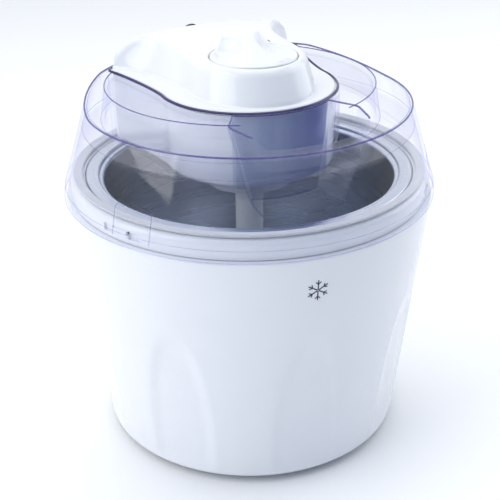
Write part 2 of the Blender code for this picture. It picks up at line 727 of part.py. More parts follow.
def build():
    clear_scene()
    white = material("white_gloss", (0.86, 0.88, 0.91), 0.16)
    clear = material("clear_plastic", (0.80, 0.84, 0.95), 0.05, alpha=0.35)
    aluminium = material("bowl_aluminium", (0.70, 0.72, 0.76), 0.34, 1.0)
    grey = material("liner_grey", (0.62, 0.64, 0.68), 0.5)
    gel = material("blue_gel", (0.30, 0.52, 0.80), 0.4)
    rubber = material("grey_rubber", (0.20, 0.20, 0.22), 0.8)
    silicone = material("clear_silicone", (0.83, 0.85, 0.88), 0.5)
    steel = material("bright_steel", (0.62, 0.63, 0.65), 0.3, 1.0)
    zinc = material("zinc_plate", (0.55, 0.57, 0.60), 0.45, 1.0)
    brass = material("bearing_brass", (0.72, 0.55, 0.28), 0.35, 1.0)
    black = material("black_plastic", (0.03, 0.03, 0.035), 0.5)
    nylon = material("white_nylon", (0.90, 0.90, 0.88), 0.4)

    lid_frame = empty("lid_frame", LID_TURN)
    spin_frame = empty("spin_frame", PADDLE_ANGLE)
    base_parts(white, grey, rubber, steel)
    bowl_parts(aluminium, steel, gel, rubber)
    lid_seal(silicone)
    lid(clear, lid_frame)
    motor_parts(white, black, steel, brass, zinc, lid_frame)
    knob_parts(white, steel, lid_frame)
    drive_parts(steel, nylon, lid_frame, spin_frame)
    paddle(nylon, spin_frame)


build()
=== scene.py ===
"""Looks for the ice cream maker: studio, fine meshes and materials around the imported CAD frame.

Lengths are millimetres unless a name ends in _m, and MM turns them into metres. The lid, the
motor unit and the drive are drawn in the lid's own frame and then turned by LID_TURN.
"""

import math

import bmesh
import bpy
from mathutils import Euler, Matrix, Vector


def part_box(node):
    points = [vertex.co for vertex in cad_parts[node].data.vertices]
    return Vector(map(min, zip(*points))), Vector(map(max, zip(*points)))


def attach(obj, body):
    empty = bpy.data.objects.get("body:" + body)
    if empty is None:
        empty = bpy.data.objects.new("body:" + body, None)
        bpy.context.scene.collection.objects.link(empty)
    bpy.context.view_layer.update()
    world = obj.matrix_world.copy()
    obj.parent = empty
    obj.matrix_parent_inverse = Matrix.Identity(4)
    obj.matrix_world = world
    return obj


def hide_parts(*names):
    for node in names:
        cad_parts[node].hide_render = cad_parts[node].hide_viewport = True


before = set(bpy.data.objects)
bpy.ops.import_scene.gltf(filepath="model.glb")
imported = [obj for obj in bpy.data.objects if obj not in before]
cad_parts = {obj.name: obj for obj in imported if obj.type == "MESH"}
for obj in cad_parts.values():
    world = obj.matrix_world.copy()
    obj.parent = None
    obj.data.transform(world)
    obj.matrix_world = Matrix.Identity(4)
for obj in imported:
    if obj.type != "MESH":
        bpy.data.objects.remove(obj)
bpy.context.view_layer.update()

MM = 0.001
FINE = 192
EPS = 1e-7

# Driving sizes, the same as the CAD's
FOOT_HEIGHT = 4.0
BODY_TOP = 147.0
BODY_BOTTOM_RADIUS = 87.6
BODY_TOP_RADIUS = 103.7
BODY_THICKNESS = 4.6
FLUTES = 8
FLUTE_DEPTH = 1.7
FLUTE_HALF_ANGLE = math.radians(12.9)
FLUTE_SPRING = 24.0
FLUTE_RISE = 78.0
FOOT_CIRCLE = 66.0
COLLAR_TOP = 158.0
COLLAR_RADIUS = 100.6
LUG_RADIUS = 101.6
BOWL_RIM_RADIUS = 92.2
BOWL_FLOOR = 45.5
LINER_FLOOR = 24.0
LID_TURN = math.radians(5.0)
LID_WALL = 2.0
SKIRT_BOTTOM = 147.4
SKIRT_RADIUS = 105.0
CONE_FOOT_Z = 154.0
CONE_FOOT_RADIUS = 104.0
CONE_SLOPE = 0.309
RIM_FRONT = 197.0
RIM_BACK = 205.0
DECK_TOP = 186.0
PLATFORM_TOP = 205.0
DRUM_FOOT_RADIUS = 78.6
DRUM_TOP_RADIUS = 75.7
DRUM_OFFSET = 10.5
WELL_FLOOR = 162.4
BOSS_RADIUS = 27.5
BOSS_BOTTOM = 148.0
CHUTE_BOTTOM = 158.0
CHUTE_BACK_RADIUS = 51.0
CHUTE_FRONT_RADIUS = 74.0
NOSE_RADIUS = 48.0
FLANGE_BACK_RADIUS = 85.4
FLANGE_TIP_Y = 62.3
FLANGE_TOP = 205.8
COVER_TOP = 223.0
COVER_SLOPE = 0.0165
KNOB_Y = -7.9
KNOB_RADIUS = 23.7
KNOB_TOP = 232.0
GLAND_Z = 213.5
GLAND_BACK = 86.2
PADDLE_ANGLE = math.radians(-19.5)
PADDLE_TOP = 146.0
STEM_RADIUS = 8.0


# ---------------------------------------------------------------- camera and studio


def camera():
    data = bpy.data.cameras.new("camera")
    data.sensor_width = 36.0
    data.lens = 75.6
    made = bpy.data.objects.new("camera", data)
    bpy.context.scene.collection.objects.link(made)
    view = Vector((0.2988, 0.8436, -0.4460)).to_track_quat("-Z", "Y").to_matrix().to_4x4()
    roll = Matrix.Rotation(math.radians(-0.72), 4, "Z")
    made.matrix_world = Matrix.Translation((-0.1862, -0.5258, 0.3813)) @ view @ roll
    bpy.context.scene.camera = made


def area_light(name, place_m, target_m, size_m, power, colour):
    data = bpy.data.lights.new(name, "AREA")
    data.shape = "RECTANGLE"
    data.size, data.size_y = size_m
    data.energy = power
    data.color = colour
    made = bpy.data.objects.new(name, data)
    bpy.context.scene.collection.objects.link(made)
    made.location = place_m
    aim = Vector(target_m) - Vector(place_m)
    made.rotation_euler = aim.to_track_quat("-Z", "Y").to_euler()


def studio():
    scene = bpy.context.scene
    scene.view_settings.view_transform = "Standard"
    scene.cycles.transparent_max_bounces = 32
    scene.cycles.max_bounces = 12
    world = bpy.data.worlds.new("studio")
    scene.world = world
    world.use_nodes = True
    nodes = world.node_tree.nodes
    links = world.node_tree.links
    nodes.clear()
    place = nodes.new("ShaderNodeTexCoord")
    split = nodes.new("ShaderNodeSeparateXYZ")
    links.new(place.outputs["Generated"], split.inputs["Vector"])
    ramp = nodes.new("ShaderNodeMapRange")
    ramp.inputs["From Min"].default_value = -1.0
    ramp.inputs["From Max"].default_value = 0.6
    links.new(split.outputs["Y"], ramp.inputs["Value"])
    tint = nodes.new("ShaderNodeMix")
    tint.data_type = "RGBA"
    tint.inputs["A"].default_value = (0.26, 0.33, 0.46, 1.0)
    tint.inputs["B"].default_value = (0.98, 0.99, 1.0, 1.0)
    links.new(ramp.outputs["Result"], tint.inputs["Factor"])
    sky = nodes.new("ShaderNodeBackground")
    sky.inputs["Strength"].default_value = 0.95
    links.new(tint.outputs["Result"], sky.inputs["Color"])
    out = nodes.new("ShaderNodeOutputWorld")
    links.new(sky.outputs["Background"], out.inputs["Surface"])

    centre = (0.0, 0.0, 0.1)
    area_light("left_box", (-1.1, -0.1, 0.75), centre, (0.9, 1.1), 7.0, (1.0, 0.995, 0.99))
    area_light("right_box", (1.15, 0.15, 0.7), centre, (0.9, 1.1), 4.4, (0.97, 0.98, 1.0))
    area_light("top_box", (0.0, 0.25, 1.35), centre, (1.3, 1.3), 6.2, (0.99, 0.995, 1.0))

    bm = bmesh.new()
    bmesh.ops.create_grid(bm, x_segments=8, y_segments=8, size=6.0)
    mesh = bpy.data.meshes.new("studio_floor")
    bm.to_mesh(mesh)
    bm.free()
    floor = bpy.data.objects.new("studio_floor", mesh)
    scene.collection.objects.link(floor)
    mesh.materials.append(floor_material())


# ---------------------------------------------------------------- material tools


def graph(name):
    made = bpy.data.materials.new(name)
    made.use_nodes = True
    tree = made.node_tree
    tree.nodes.clear()
    return made, tree.nodes, tree.links


def noise(nodes, links, scale, detail=3.0, stretch=(1.0, 1.0, 1.0)):
    place = nodes.new("ShaderNodeTexCoord")
    mapping = nodes.new("ShaderNodeMapping")
    mapping.inputs["Scale"].default_value = stretch
    links.new(place.outputs["Object"], mapping.inputs["Vector"])
    made = nodes.new("ShaderNodeTexNoise")
    made.inputs["Scale"].default_value = scale
    made.inputs["Detail"].default_value = detail
    links.new(mapping.outputs["Vector"], made.inputs["Vector"])
    return made.outputs["Fac"]


def blend_colour(nodes, links, factor, first, second):
    mix = nodes.new("ShaderNodeMix")
    mix.data_type = "RGBA"
    mix.inputs["A"].default_value = (*first, 1.0)
    mix.inputs["B"].default_value = (*second, 1.0)
    links.new(factor, mix.inputs["Factor"])
    return mix.outputs["Result"]


def remap(nodes, links, value, low, high):
    made = nodes.new("ShaderNodeMapRange")
    made.inputs["To Min"].default_value = low
    made.inputs["To Max"].default_value = high
    links.new(value, made.inputs["Value"])
    return made.outputs["Result"]


def bump(nodes, links, height, strength, distance):
    made = nodes.new("ShaderNodeBump")
    made.inputs["Strength"].default_value = strength
    made.inputs["Distance"].default_value = distance
    links.new(height, made.inputs["Height"])
    return made.outputs["Normal"]


def surface(name, first, second, rough, metallic=0.0, scale=60.0, grain=900.0, relief=0.05, **sockets):
    """A Principled material whose colour and gloss vary a little, with a fine moulded grain.

    rough is the lowest and highest roughness. sockets are plain values by socket name.
    """
    made, nodes, links = graph(name)
    shader = nodes.new("ShaderNodeBsdfPrincipled")
    shader.inputs["Metallic"].default_value = metallic
    for socket, value in sockets.items():
        shader.inputs[socket.replace("_", " ")].default_value = value
    clouds = noise(nodes, links, scale)
    links.new(blend_colour(nodes, links, clouds, first, second), shader.inputs["Base Color"])
    smears = noise(nodes, links, scale * 0.6, 4.0)
    links.new(remap(nodes, links, smears, *rough), shader.inputs["Roughness"])
    pits = noise(nodes, links, grain, 2.0)
    links.new(bump(nodes, links, pits, relief, 0.0002), shader.inputs["Normal"])
    out = nodes.new("ShaderNodeOutputMaterial")
    links.new(shader.outputs["BSDF"], out.inputs["Surface"])
    return made


def floor_material():
    return surface("pale_floor", (0.93, 0.94, 0.95), (0.95, 0.955, 0.96), (0.5, 0.6), relief=0.0, scale=2.0)


def spun_metal(name, first, second, rough, rings):
    """Satin metal with fine turning marks round the Z axis."""
    made, nodes, links = graph(name)
    shader = nodes.new("ShaderNodeBsdfPrincipled")
    shader.inputs["Metallic"].default_value = 1.0
    place = nodes.new("ShaderNodeTexCoord")
    split = nodes.new("ShaderNodeSeparateXYZ")
    links.new(place.outputs["Object"], split.inputs["Vector"])
    square = nodes.new("ShaderNodeVectorMath")
    square.operation = "LENGTH"
    flat = nodes.new("ShaderNodeCombineXYZ")
    links.new(split.outputs["X"], flat.inputs["X"])
    links.new(split.outputs["Y"], flat.inputs["Y"])
    links.new(flat.outputs["Vector"], square.inputs[0])
    track = nodes.new("ShaderNodeCombineXYZ")
    links.new(square.outputs["Value"], track.inputs["X"])
    links.new(split.outputs["Z"], track.inputs["Z"])
    lines = nodes.new("ShaderNodeTexNoise")
    lines.inputs["Scale"].default_value = rings
    lines.inputs["Detail"].default_value = 3.0
    links.new(track.outputs["Vector"], lines.inputs["Vector"])
    links.new(blend_colour(nodes, links, lines.outputs["Fac"], first, second), shader.inputs["Base Color"])
    links.new(remap(nodes, links, lines.outputs["Fac"], *rough), shader.inputs["Roughness"])
    links.new(bump(nodes, links, lines.outputs["Fac"], 0.08, 0.0002), shader.inputs["Normal"])
    out = nodes.new("ShaderNodeOutputMaterial")
    links.new(shader.outputs["BSDF"], out.inputs["Surface"])
    return made


def clear_plastic(name, face_on, edge_on, gloss=0.03):
    """Clear moulding: lets light straight through, tinted more where it is seen edge on."""
    made, nodes, links = graph(name)
    facing = nodes.new("ShaderNodeLayerWeight")
    facing.inputs["Blend"].default_value = 0.5
    haze = noise(nodes, links, 35.0, 2.0)
    face_tint = blend_colour(nodes, links, haze, face_on, tuple(c * 0.99 for c in face_on))
    tint = nodes.new("ShaderNodeMix")
    tint.data_type = "RGBA"
    tint.inputs["B"].default_value = (*edge_on, 1.0)
    links.new(raised(nodes, links, facing.outputs["Facing"], 7.0), tint.inputs["Factor"])
    links.new(face_tint, tint.inputs["A"])
    through = nodes.new("ShaderNodeBsdfTransparent")
    links.new(tint.outputs["Result"], through.inputs["Color"])
    mirror = nodes.new("ShaderNodeBsdfGlossy")
    mirror.inputs["Roughness"].default_value = gloss
    mirror.inputs["Color"].default_value = (1.0, 1.0, 1.0, 1.0)
    ripple = noise(nodes, links, 26.0, 1.0)
    links.new(bump(nodes, links, ripple, 0.12, 0.002), mirror.inputs["Normal"])
    share = remap(nodes, links, raised(nodes, links, facing.outputs["Facing"], 5.0), 0.03, 0.5)
    mix = nodes.new("ShaderNodeMixShader")
    links.new(share, mix.inputs["Fac"])
    links.new(through.outputs["BSDF"], mix.inputs[1])
    links.new(mirror.outputs["BSDF"], mix.inputs[2])
    out = nodes.new("ShaderNodeOutputMaterial")
    links.new(mix.outputs["Shader"], out.inputs["Surface"])
    return made


def painted_shade_wall(name, left, right):
    """The well's wall behind the chute: painted shade that darkens to the right, with painted upright streaks of
    reflected light.
    """
    made, nodes, links = graph(name)
    place = nodes.new("ShaderNodeTexCoord")
    split = nodes.new("ShaderNodeSeparateXYZ")
    links.new(place.outputs["Object"], split.inputs["Vector"])
    # painted shade: the tint seen through the wall darkens from left to right
    across = nodes.new("ShaderNodeMapRange")
    across.inputs["From Min"].default_value = -0.014
    across.inputs["From Max"].default_value = 0.022
    links.new(split.outputs["X"], across.inputs["Value"])
    # painted reflection: upright streaks of light worked into the tint
    painted_light_streaks = noise(nodes, links, 170.0, 2.0, (1.0, 1.0, 0.05))
    wave = nodes.new("ShaderNodeMath")
    wave.operation = "MULTIPLY_ADD"
    wave.use_clamp = True
    wave.inputs[1].default_value = 0.5
    links.new(painted_light_streaks, wave.inputs[0])
    shift = nodes.new("ShaderNodeMath")
    shift.operation = "SUBTRACT"
    shift.inputs[1].default_value = 0.25
    links.new(across.outputs["Result"], shift.inputs[0])
    links.new(shift.outputs["Value"], wave.inputs[2])
    through = nodes.new("ShaderNodeBsdfTransparent")
    links.new(blend_colour(nodes, links, wave.outputs["Value"], left, right), through.inputs["Color"])
    mirror = nodes.new("ShaderNodeBsdfGlossy")
    mirror.inputs["Roughness"].default_value = 0.06
    links.new(bump(nodes, links, painted_light_streaks, 0.2, 0.002), mirror.inputs["Normal"])
    mix = nodes.new("ShaderNodeMixShader")
    mix.inputs["Fac"].default_value = 0.05
    links.new(through.outputs["BSDF"], mix.inputs[1])
    links.new(mirror.outputs["BSDF"], mix.inputs[2])
    out = nodes.new("ShaderNodeOutputMaterial")
    links.new(mix.outputs["Shader"], out.inputs["Surface"])
    return made


def raised(nodes, links, value, power):
    made = nodes.new("ShaderNodeMath")
    made.operation = "POWER"
    made.inputs[1].default_value = power
    links.new(value, made.inputs[0])
    return made.outputs["Value"]


def free_edge(name, first, second, solid_share):
    """The cut edges of clear plastic: light gathered in the sheet leaves here as violet."""
    made, nodes, links = graph(name)
    body = nodes.new("ShaderNodeBsdfPrincipled")
    body.inputs["Roughness"].default_value = 0.12
    tone = noise(nodes, links, 55.0, 3.0)
    links.new(blend_colour(nodes, links, tone, first, second), body.inputs["Base Color"])
    through = nodes.new("ShaderNodeBsdfTransparent")
    through.inputs["Color"].default_value = (0.72, 0.72, 0.9, 1.0)
    mix = nodes.new("ShaderNodeMixShader")
    links.new(remap(nodes, links, tone, *solid_share), mix.inputs["Fac"])
    links.new(through.outputs["BSDF"], mix.inputs[1])
    links.new(body.outputs["BSDF"], mix.inputs[2])
    out = nodes.new("ShaderNodeOutputMaterial")
    links.new(mix.outputs["Shader"], out.inputs["Surface"])
    return made


# ---------------------------------------------------------------- mesh tools


def add(name, bm, look, body, replaced=(), at=(0.0, 0.0), turn=0.0, sharp=32.0):
    """Make one piece, tell the frame what it is, and return it."""
    bmesh.ops.remove_doubles(bm, verts=bm.verts, dist=EPS)
    bmesh.ops.recalc_face_normals(bm, faces=bm.faces)
    bmesh.ops.translate(bm, verts=bm.verts, vec=(at[0] * MM, at[1] * MM, 0.0))
    bmesh.ops.rotate(bm, verts=bm.verts, cent=(0.0, 0.0, 0.0), matrix=Matrix.Rotation(turn, 3, "Z"))
    mesh = bpy.data.meshes.new(name)
    bm.to_mesh(mesh)
    bm.free()
    return finish_piece(name, mesh, look, body, replaced, sharp)


def finish_piece(name, mesh, look, body, replaced=(), sharp=32.0):
    mesh.polygons.foreach_set("use_smooth", [True] * len(mesh.polygons))
    mesh.set_sharp_from_angle(angle=math.radians(sharp))
    if not mesh.materials:
        mesh.materials.append(look)
    piece = bpy.data.objects.new(name, mesh)
    bpy.context.scene.collection.objects.link(piece)
    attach(piece, body)
    if replaced:
        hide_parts(*replaced)
    return piece


def solid(bm, name="solid"):
    """A scratch object for Boolean work. It never stays in the scene."""
    bmesh.ops.remove_doubles(bm, verts=bm.verts, dist=EPS)
    bmesh.ops.recalc_face_normals(bm, faces=bm.faces)
    mesh = bpy.data.meshes.new(name)
    bm.to_mesh(mesh)
    bm.free()
    made = bpy.data.objects.new(name, mesh)
    bpy.context.scene.collection.objects.link(made)
    return made


def combine(first, steps):
    """Run (operation, bmesh) steps on a solid and return the result as a mesh."""
    base = solid(first)
    for operation, bm in steps:
        tool = solid(bm)
        change = base.modifiers.new("step", "BOOLEAN")
        change.operation = operation
        change.solver = "EXACT"
        change.object = tool
        bpy.context.view_layer.update()
        shape = bpy.data.meshes.new_from_object(base.evaluated_get(bpy.context.evaluated_depsgraph_get()))
        base.modifiers.clear()
        old = base.data
        base.data = shape
        bpy.data.meshes.remove(old)
        bpy.data.objects.remove(tool, do_unlink=True)
    shape = base.data
    bpy.data.objects.remove(base, do_unlink=True)
    shape.materials.clear()
    return shape


def soften(mesh, width, segments=2, angle=30.0, edge_slot=-1):
    """Round a mesh's sharp edges and return the new mesh. The new faces may take a material slot."""
    made = bpy.data.objects.new("soften", mesh)
    bpy.context.scene.collection.objects.link(made)
    change = made.modifiers.new("round", "BEVEL")
    change.width = width * MM
    change.segments = segments
    change.limit_method = "ANGLE"
    change.angle_limit = math.radians(angle)
    change.material = edge_slot
    bpy.context.view_layer.update()
    shape = bpy.data.meshes.new_from_object(made.evaluated_get(bpy.context.evaluated_depsgraph_get()))
    bpy.data.objects.remove(made, do_unlink=True)
    return shape


def to_bmesh(mesh):
    bm = bmesh.new()
    bm.from_mesh(mesh)
    bpy.data.meshes.remove(mesh)
    return bm


def merge(shapes):
    whole = bmesh.new()
    for shape in shapes:
        mesh = bpy.data.meshes.new("shape")
        shape.to_mesh(mesh)
        shape.free()
        whole.from_mesh(mesh)
        bpy.data.meshes.remove(mesh)
    return whole


def revolve(profile, closed=True, steps=FINE):
    bm = bmesh.new()
    verts = [bm.verts.new((r * MM, 0.0, z * MM)) for r, z in profile]
    ends = verts[1:] + verts[:1] if closed else verts[1:]
    edges = [bm.edges.new(pair) for pair in zip(verts, ends)]
    bmesh.ops.spin(
        bm,
        geom=verts + edges,
        cent=(0.0, 0.0, 0.0),
        axis=(0.0, 0.0, 1.0),
        dvec=(0.0, 0.0, 0.0),
        angle=math.tau,
        steps=steps,
        use_merge=True,
    )
    bmesh.ops.remove_doubles(bm, verts=bm.verts, dist=EPS)
    return bm


def loft(sections, closed=True):
    bm = bmesh.new()
    rings = [[bm.verts.new((x * MM, y * MM, z * MM)) for x, y, z in points] for points in sections]
    for low, high in zip(rings, rings[1:]):
        for i in range(len(low)):
            j = (i + 1) % len(low)
            bm.faces.new((low[i], low[j], high[j], high[i]))
    if closed:
        bm.faces.new(list(reversed(rings[0])))
        bm.faces.new(rings[-1])
    return bm


def tube_loft(sections):
    """Join outlines in a loop, for a bead or a ring that follows an outline."""
    bm = loft(sections, closed=False)
    bm.verts.ensure_lookup_table()
    count = len(sections[0])
    last = (len(sections) - 1) * count
    for i in range(count):
        j = (i + 1) % count
        bm.faces.new((bm.verts[last + i], bm.verts[last + j], bm.verts[j], bm.verts[i]))
    return bm


def bead(path, radius, closed=True, sides=8):
    """A thin round bead that follows a path in millimetres."""
    points = [Vector(p) for p in path]
    total = len(points)
    sections = []
    for i, point in enumerate(points):
        before = points[i - 1] if closed or i else point
        after = points[(i + 1) % total] if closed or i + 1 < total else point
        along = (after - before).normalized()
        side = along.cross(Vector((0.0, 0.0, 1.0)))
        if side.length < 0.2:
            side = along.cross(Vector((1.0, 0.0, 0.0)))
        side.normalize()
        up = side.cross(along)
        ring = []
        for k in range(sides):
            u, v = polar(radius, math.tau * k / sides)
            ring.append(tuple(point + side * u + up * v))
        sections.append(ring)
    return tube_loft(sections) if closed else loft(sections)


def prism(outline, z_low, z_high):
    return loft([[(x, y, z) for x, y in outline] for z in (z_low, z_high)])


def polar(radius, angle, centre=(0.0, 0.0)):
    return (centre[0] + radius * math.cos(angle), centre[1] + radius * math.sin(angle))


def circle(radius, centre=(0.0, 0.0), steps=48):
    return [polar(radius, math.tau * i / steps, centre) for i in range(steps)]


def cylinder(radius, z_low, z_high, centre=(0.0, 0.0), steps=48):
    return prism(circle(radius, centre, steps), z_low, z_high)


def arc(radius, start, end, steps, centre=(0.0, 0.0)):
    return [polar(radius, start + (end - start) * i / steps, centre) for i in range(steps + 1)]


def rectangle(x_low, x_high, y_low, y_high):
    return [(x_low, y_low), (x_high, y_low), (x_high, y_high), (x_low, y_high)]


def side_prism(outline, x_low, x_high):
    return loft([[(x, y, z) for y, z in outline] for x in (x_low, x_high)])


def polar_block(radius_low, radius_high, angle, half_angle, z_low, z_high):
    outer = arc(radius_high, angle - half_angle, angle + half_angle, 8)
    inner = arc(radius_low, angle + half_angle, angle - half_angle, 8)
    return prism(outer + inner, z_low, z_high)


def smooth_step(value):
    value = max(0.0, min(1.0, value))
    return value * value * (3.0 - 2.0 * value)


def resample(points, count):
    """Space points evenly along a closed outline by a smooth curve through it."""
    total = len(points)
    dense = []
    for i in range(total):
        p0, p1, p2, p3 = (points[(i + k) % total] for k in (-1, 0, 1, 2))
        for k in range(12):
            t = k / 12
            dense.append(tuple(
                0.5 * (2 * b + (c - a) * t + (2 * a - 5 * b + 4 * c - d) * t * t + (3 * b - a - 3 * c + d) * t**3)
                for a, b, c, d in zip(p0, p1, p2, p3)
            ))
    lengths = [0.0]
    for a, b in zip(dense, dense[1:] + dense[:1]):
        lengths.append(lengths[-1] + math.dist(a, b))
    even = []
    spot = 0
    for i in range(count):
        goal = lengths[-1] * i / count
        while lengths[spot + 1] < goal:
            spot += 1
        share = (goal - lengths[spot]) / (lengths[spot + 1] - lengths[spot])
        a = dense[spot]
        b = dense[(spot + 1) % len(dense)]
        even.append(tuple(u + (v - u) * share for u, v in zip(a, b)))
    return even


# ---------------------------------------------------------------- base


def body_radius(z):
    share = (z - FOOT_HEIGHT) / (BODY_TOP - FOOT_HEIGHT)
    return BODY_BOTTOM_RADIUS + (BODY_TOP_RADIUS - BODY_BOTTOM_RADIUS) * share


def flute_depth(angle, z):
    """The arched flutes: shallow scoops with soft edges that fade out at their tops and feet."""
    rise = max(z - FLUTE_SPRING, 0.0) / FLUTE_RISE
    if rise >= 1.0:
        return 0.0
    half = FLUTE_HALF_ANGLE * math.sqrt(1.0 - rise * rise)
    pitch = math.tau / FLUTES
    offset = abs((angle + math.pi / 2 + pitch / 2) % pitch - pitch / 2)
    edge = smooth_step((half - offset) / math.radians(4.6))
    bowl = max(0.0, 1.0 - (offset / max(half, 0.01)) ** 2)
    fade = smooth_step((1.0 - rise) / 0.3) * smooth_step((z - FOOT_HEIGHT) / 12.0)
    return FLUTE_DEPTH * (0.5 * edge + 0.5 * bowl) * fade


def body_shell(look):
    columns = 384
    angles = [math.tau * i / columns for i in range(columns)]
    sections = []

    def ring(z, radius=None, sunk=False):
        points = []
        for a in angles:
            r = radius if radius else body_radius(z) - (flute_depth(a, z) if sunk else 0.0)
            points.append((*polar(r, a), z))
        sections.append(points)

    inner_foot = body_radius(FOOT_HEIGHT) - BODY_THICKNESS
    ring(BODY_TOP - 2.6, body_radius(BODY_TOP) - BODY_THICKNESS)
    ring(FOOT_HEIGHT + 1.0, inner_foot)
    ring(FOOT_HEIGHT, inner_foot + 1.0)
    edge = 3.2
    for k in range(9):
        turn = math.pi / 2 * k / 8
        z = FOOT_HEIGHT + edge * (1.0 - math.cos(turn))
        radius = body_radius(z) - edge * (1.0 - math.sin(turn))
        points = []
        for a in angles:
            points.append((*polar(radius - flute_depth(a, z) * math.sin(turn), a), z))
        sections.append(points)
    for k in range(1, 64):
        ring(FOOT_HEIGHT + edge + (104.0 - FOOT_HEIGHT - edge) * k / 63, sunk=True)
    ring(BODY_TOP - 1.2)
    for k in range(1, 5):
        turn = math.pi / 2 * k / 4
        ring(BODY_TOP - 1.2 + 1.2 * math.sin(turn), BODY_TOP_RADIUS - 1.2 * (1.0 - math.cos(turn)) - 0.05)
    ring(BODY_TOP, 94.0)
    ring(BODY_TOP - 2.6, 94.0)
    add("body_shell", tube_loft(sections), look, "base", ["outer_body"], sharp=40.0)


def lock_angles():
    return [-math.pi / 2 + turn for turn in (-math.pi / 3, math.pi / 3, math.pi)]


def collar(look):
    corner = arc(3.4, 0.0, math.pi / 2, 8, (COLLAR_RADIUS - 3.4, COLLAR_TOP - 3.4))
    profile = [(COLLAR_RADIUS, BODY_TOP + 0.4)] + corner + [
        (93.3, COLLAR_TOP),
        (92.8, COLLAR_TOP - 0.5),
        (92.8, COLLAR_TOP - 2.8),
        (88.9, COLLAR_TOP - 2.8),
        (88.9, BODY_TOP + 2.4),
        (COLLAR_RADIUS - 0.7, BODY_TOP + 2.4),
        (COLLAR_RADIUS - 0.7, BODY_TOP + 0.4),
    ]
    steps = []
    for angle in lock_angles():
        for side in (-1, 1):
            middle = angle + side * math.radians(5.3)
            steps.append(polar_block(99.2, 103.0, middle, math.radians(2.4), 149.7, 153.8))
    lugs = [polar_block(99.0, LUG_RADIUS, a, math.radians(2.6), 151.9, 154.3) for a in lock_angles()]
    mesh = combine(revolve(profile), [("DIFFERENCE", merge(steps)), ("UNION", merge(lugs))])
    mesh = soften(mesh, 0.35, 2, 50.0)
    add("collar_trim", to_bmesh(mesh), look, "base", ["collar_ring"])


def base_inside(grey, white, rubber, steel):
    liner = [
        (0.0, LINER_FLOOR - 1.6),
        (84.2, LINER_FLOOR - 1.6),
        (84.9, LINER_FLOOR + 3.0),
        (89.9, BODY_TOP + 0.4),
        (99.5, BODY_TOP + 0.4),
        (99.5, BODY_TOP + 2.0),
        (88.6, BODY_TOP + 2.0),
        (83.5, LINER_FLOOR + 3.2),
        (82.6, LINER_FLOOR + 1.0),
        (80.4, LINER_FLOOR),
        (0.0, LINER_FLOOR),
    ]
    add("liner_cup", revolve(liner, closed=False), grey, "base", ["inner_liner"])
    for k in range(4):
        angle = k * math.pi / 2
        profile = [(0.0, 0.9), (4.6, 0.9), (5.2, 0.0), (7.6, 0.0)]
        profile += arc(1.2, -math.pi / 2, 0.0, 5, (7.8, 1.2))
        profile += [(9.0, 5.3), (3.0, 5.3), (3.0, 9.2), (2.6, 9.6), (0.0, 9.6)]
        foot = revolve(profile, closed=False, steps=48)
        at = polar(FOOT_CIRCLE, angle)
        add(f"foot_{k + 1}", foot, rubber, "base", [f"rubber_foot_{k + 1}"], at=at)
        place = polar(76.0, angle + math.pi / 4)
        screw_piece(f"floor_screw_{k + 1}", f"base_screw_{k + 1}", steel, "base", place, False)


def screw_piece(name, node, look, body, at, turned):
    """A pan-head screw with a cross recess, drawn to the size of its CAD node."""
    low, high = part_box(node)
    length = (high.z - low.z) / MM
    head = (high.x - low.x) / MM / 2
    profile = [(0.0, 0.0), (head - 0.8, 0.0)] + arc(0.8, -math.pi / 2, 0.0, 4, (head - 0.8, 0.8))
    profile += [(head, 1.9), (1.5, 1.9)]
    z = 1.9
    while z < length - 1.6:
        profile += [(1.5, z + 0.1), (1.15, z + 0.5)]
        z += 1.0
    profile += [(1.2, length - 1.2), (0.3, length), (0.0, length)]
    arms = [
        prism(rectangle(-1.9, 1.9, -0.35, 0.35), -1.0, 1.1),
        prism(rectangle(-0.35, 0.35, -1.9, 1.9), -1.0, 1.1),
    ]
    steps = [("DIFFERENCE", arm) for arm in arms]
    bm = to_bmesh(combine(revolve(profile, closed=False, steps=32), steps))
    if turned:
        bmesh.ops.rotate(bm, verts=bm.verts, cent=(0.0, 0.0, 0.0), matrix=Matrix.Rotation(math.pi, 3, "X"))
        bmesh.ops.translate(bm, verts=bm.verts, vec=(0.0, 0.0, high.z))
    else:
        bmesh.ops.translate(bm, verts=bm.verts, vec=(0.0, 0.0, low.z))
    return add(name, bm, look, body, [node], at=at)


# ---------------------------------------------------------------- freezer bowl


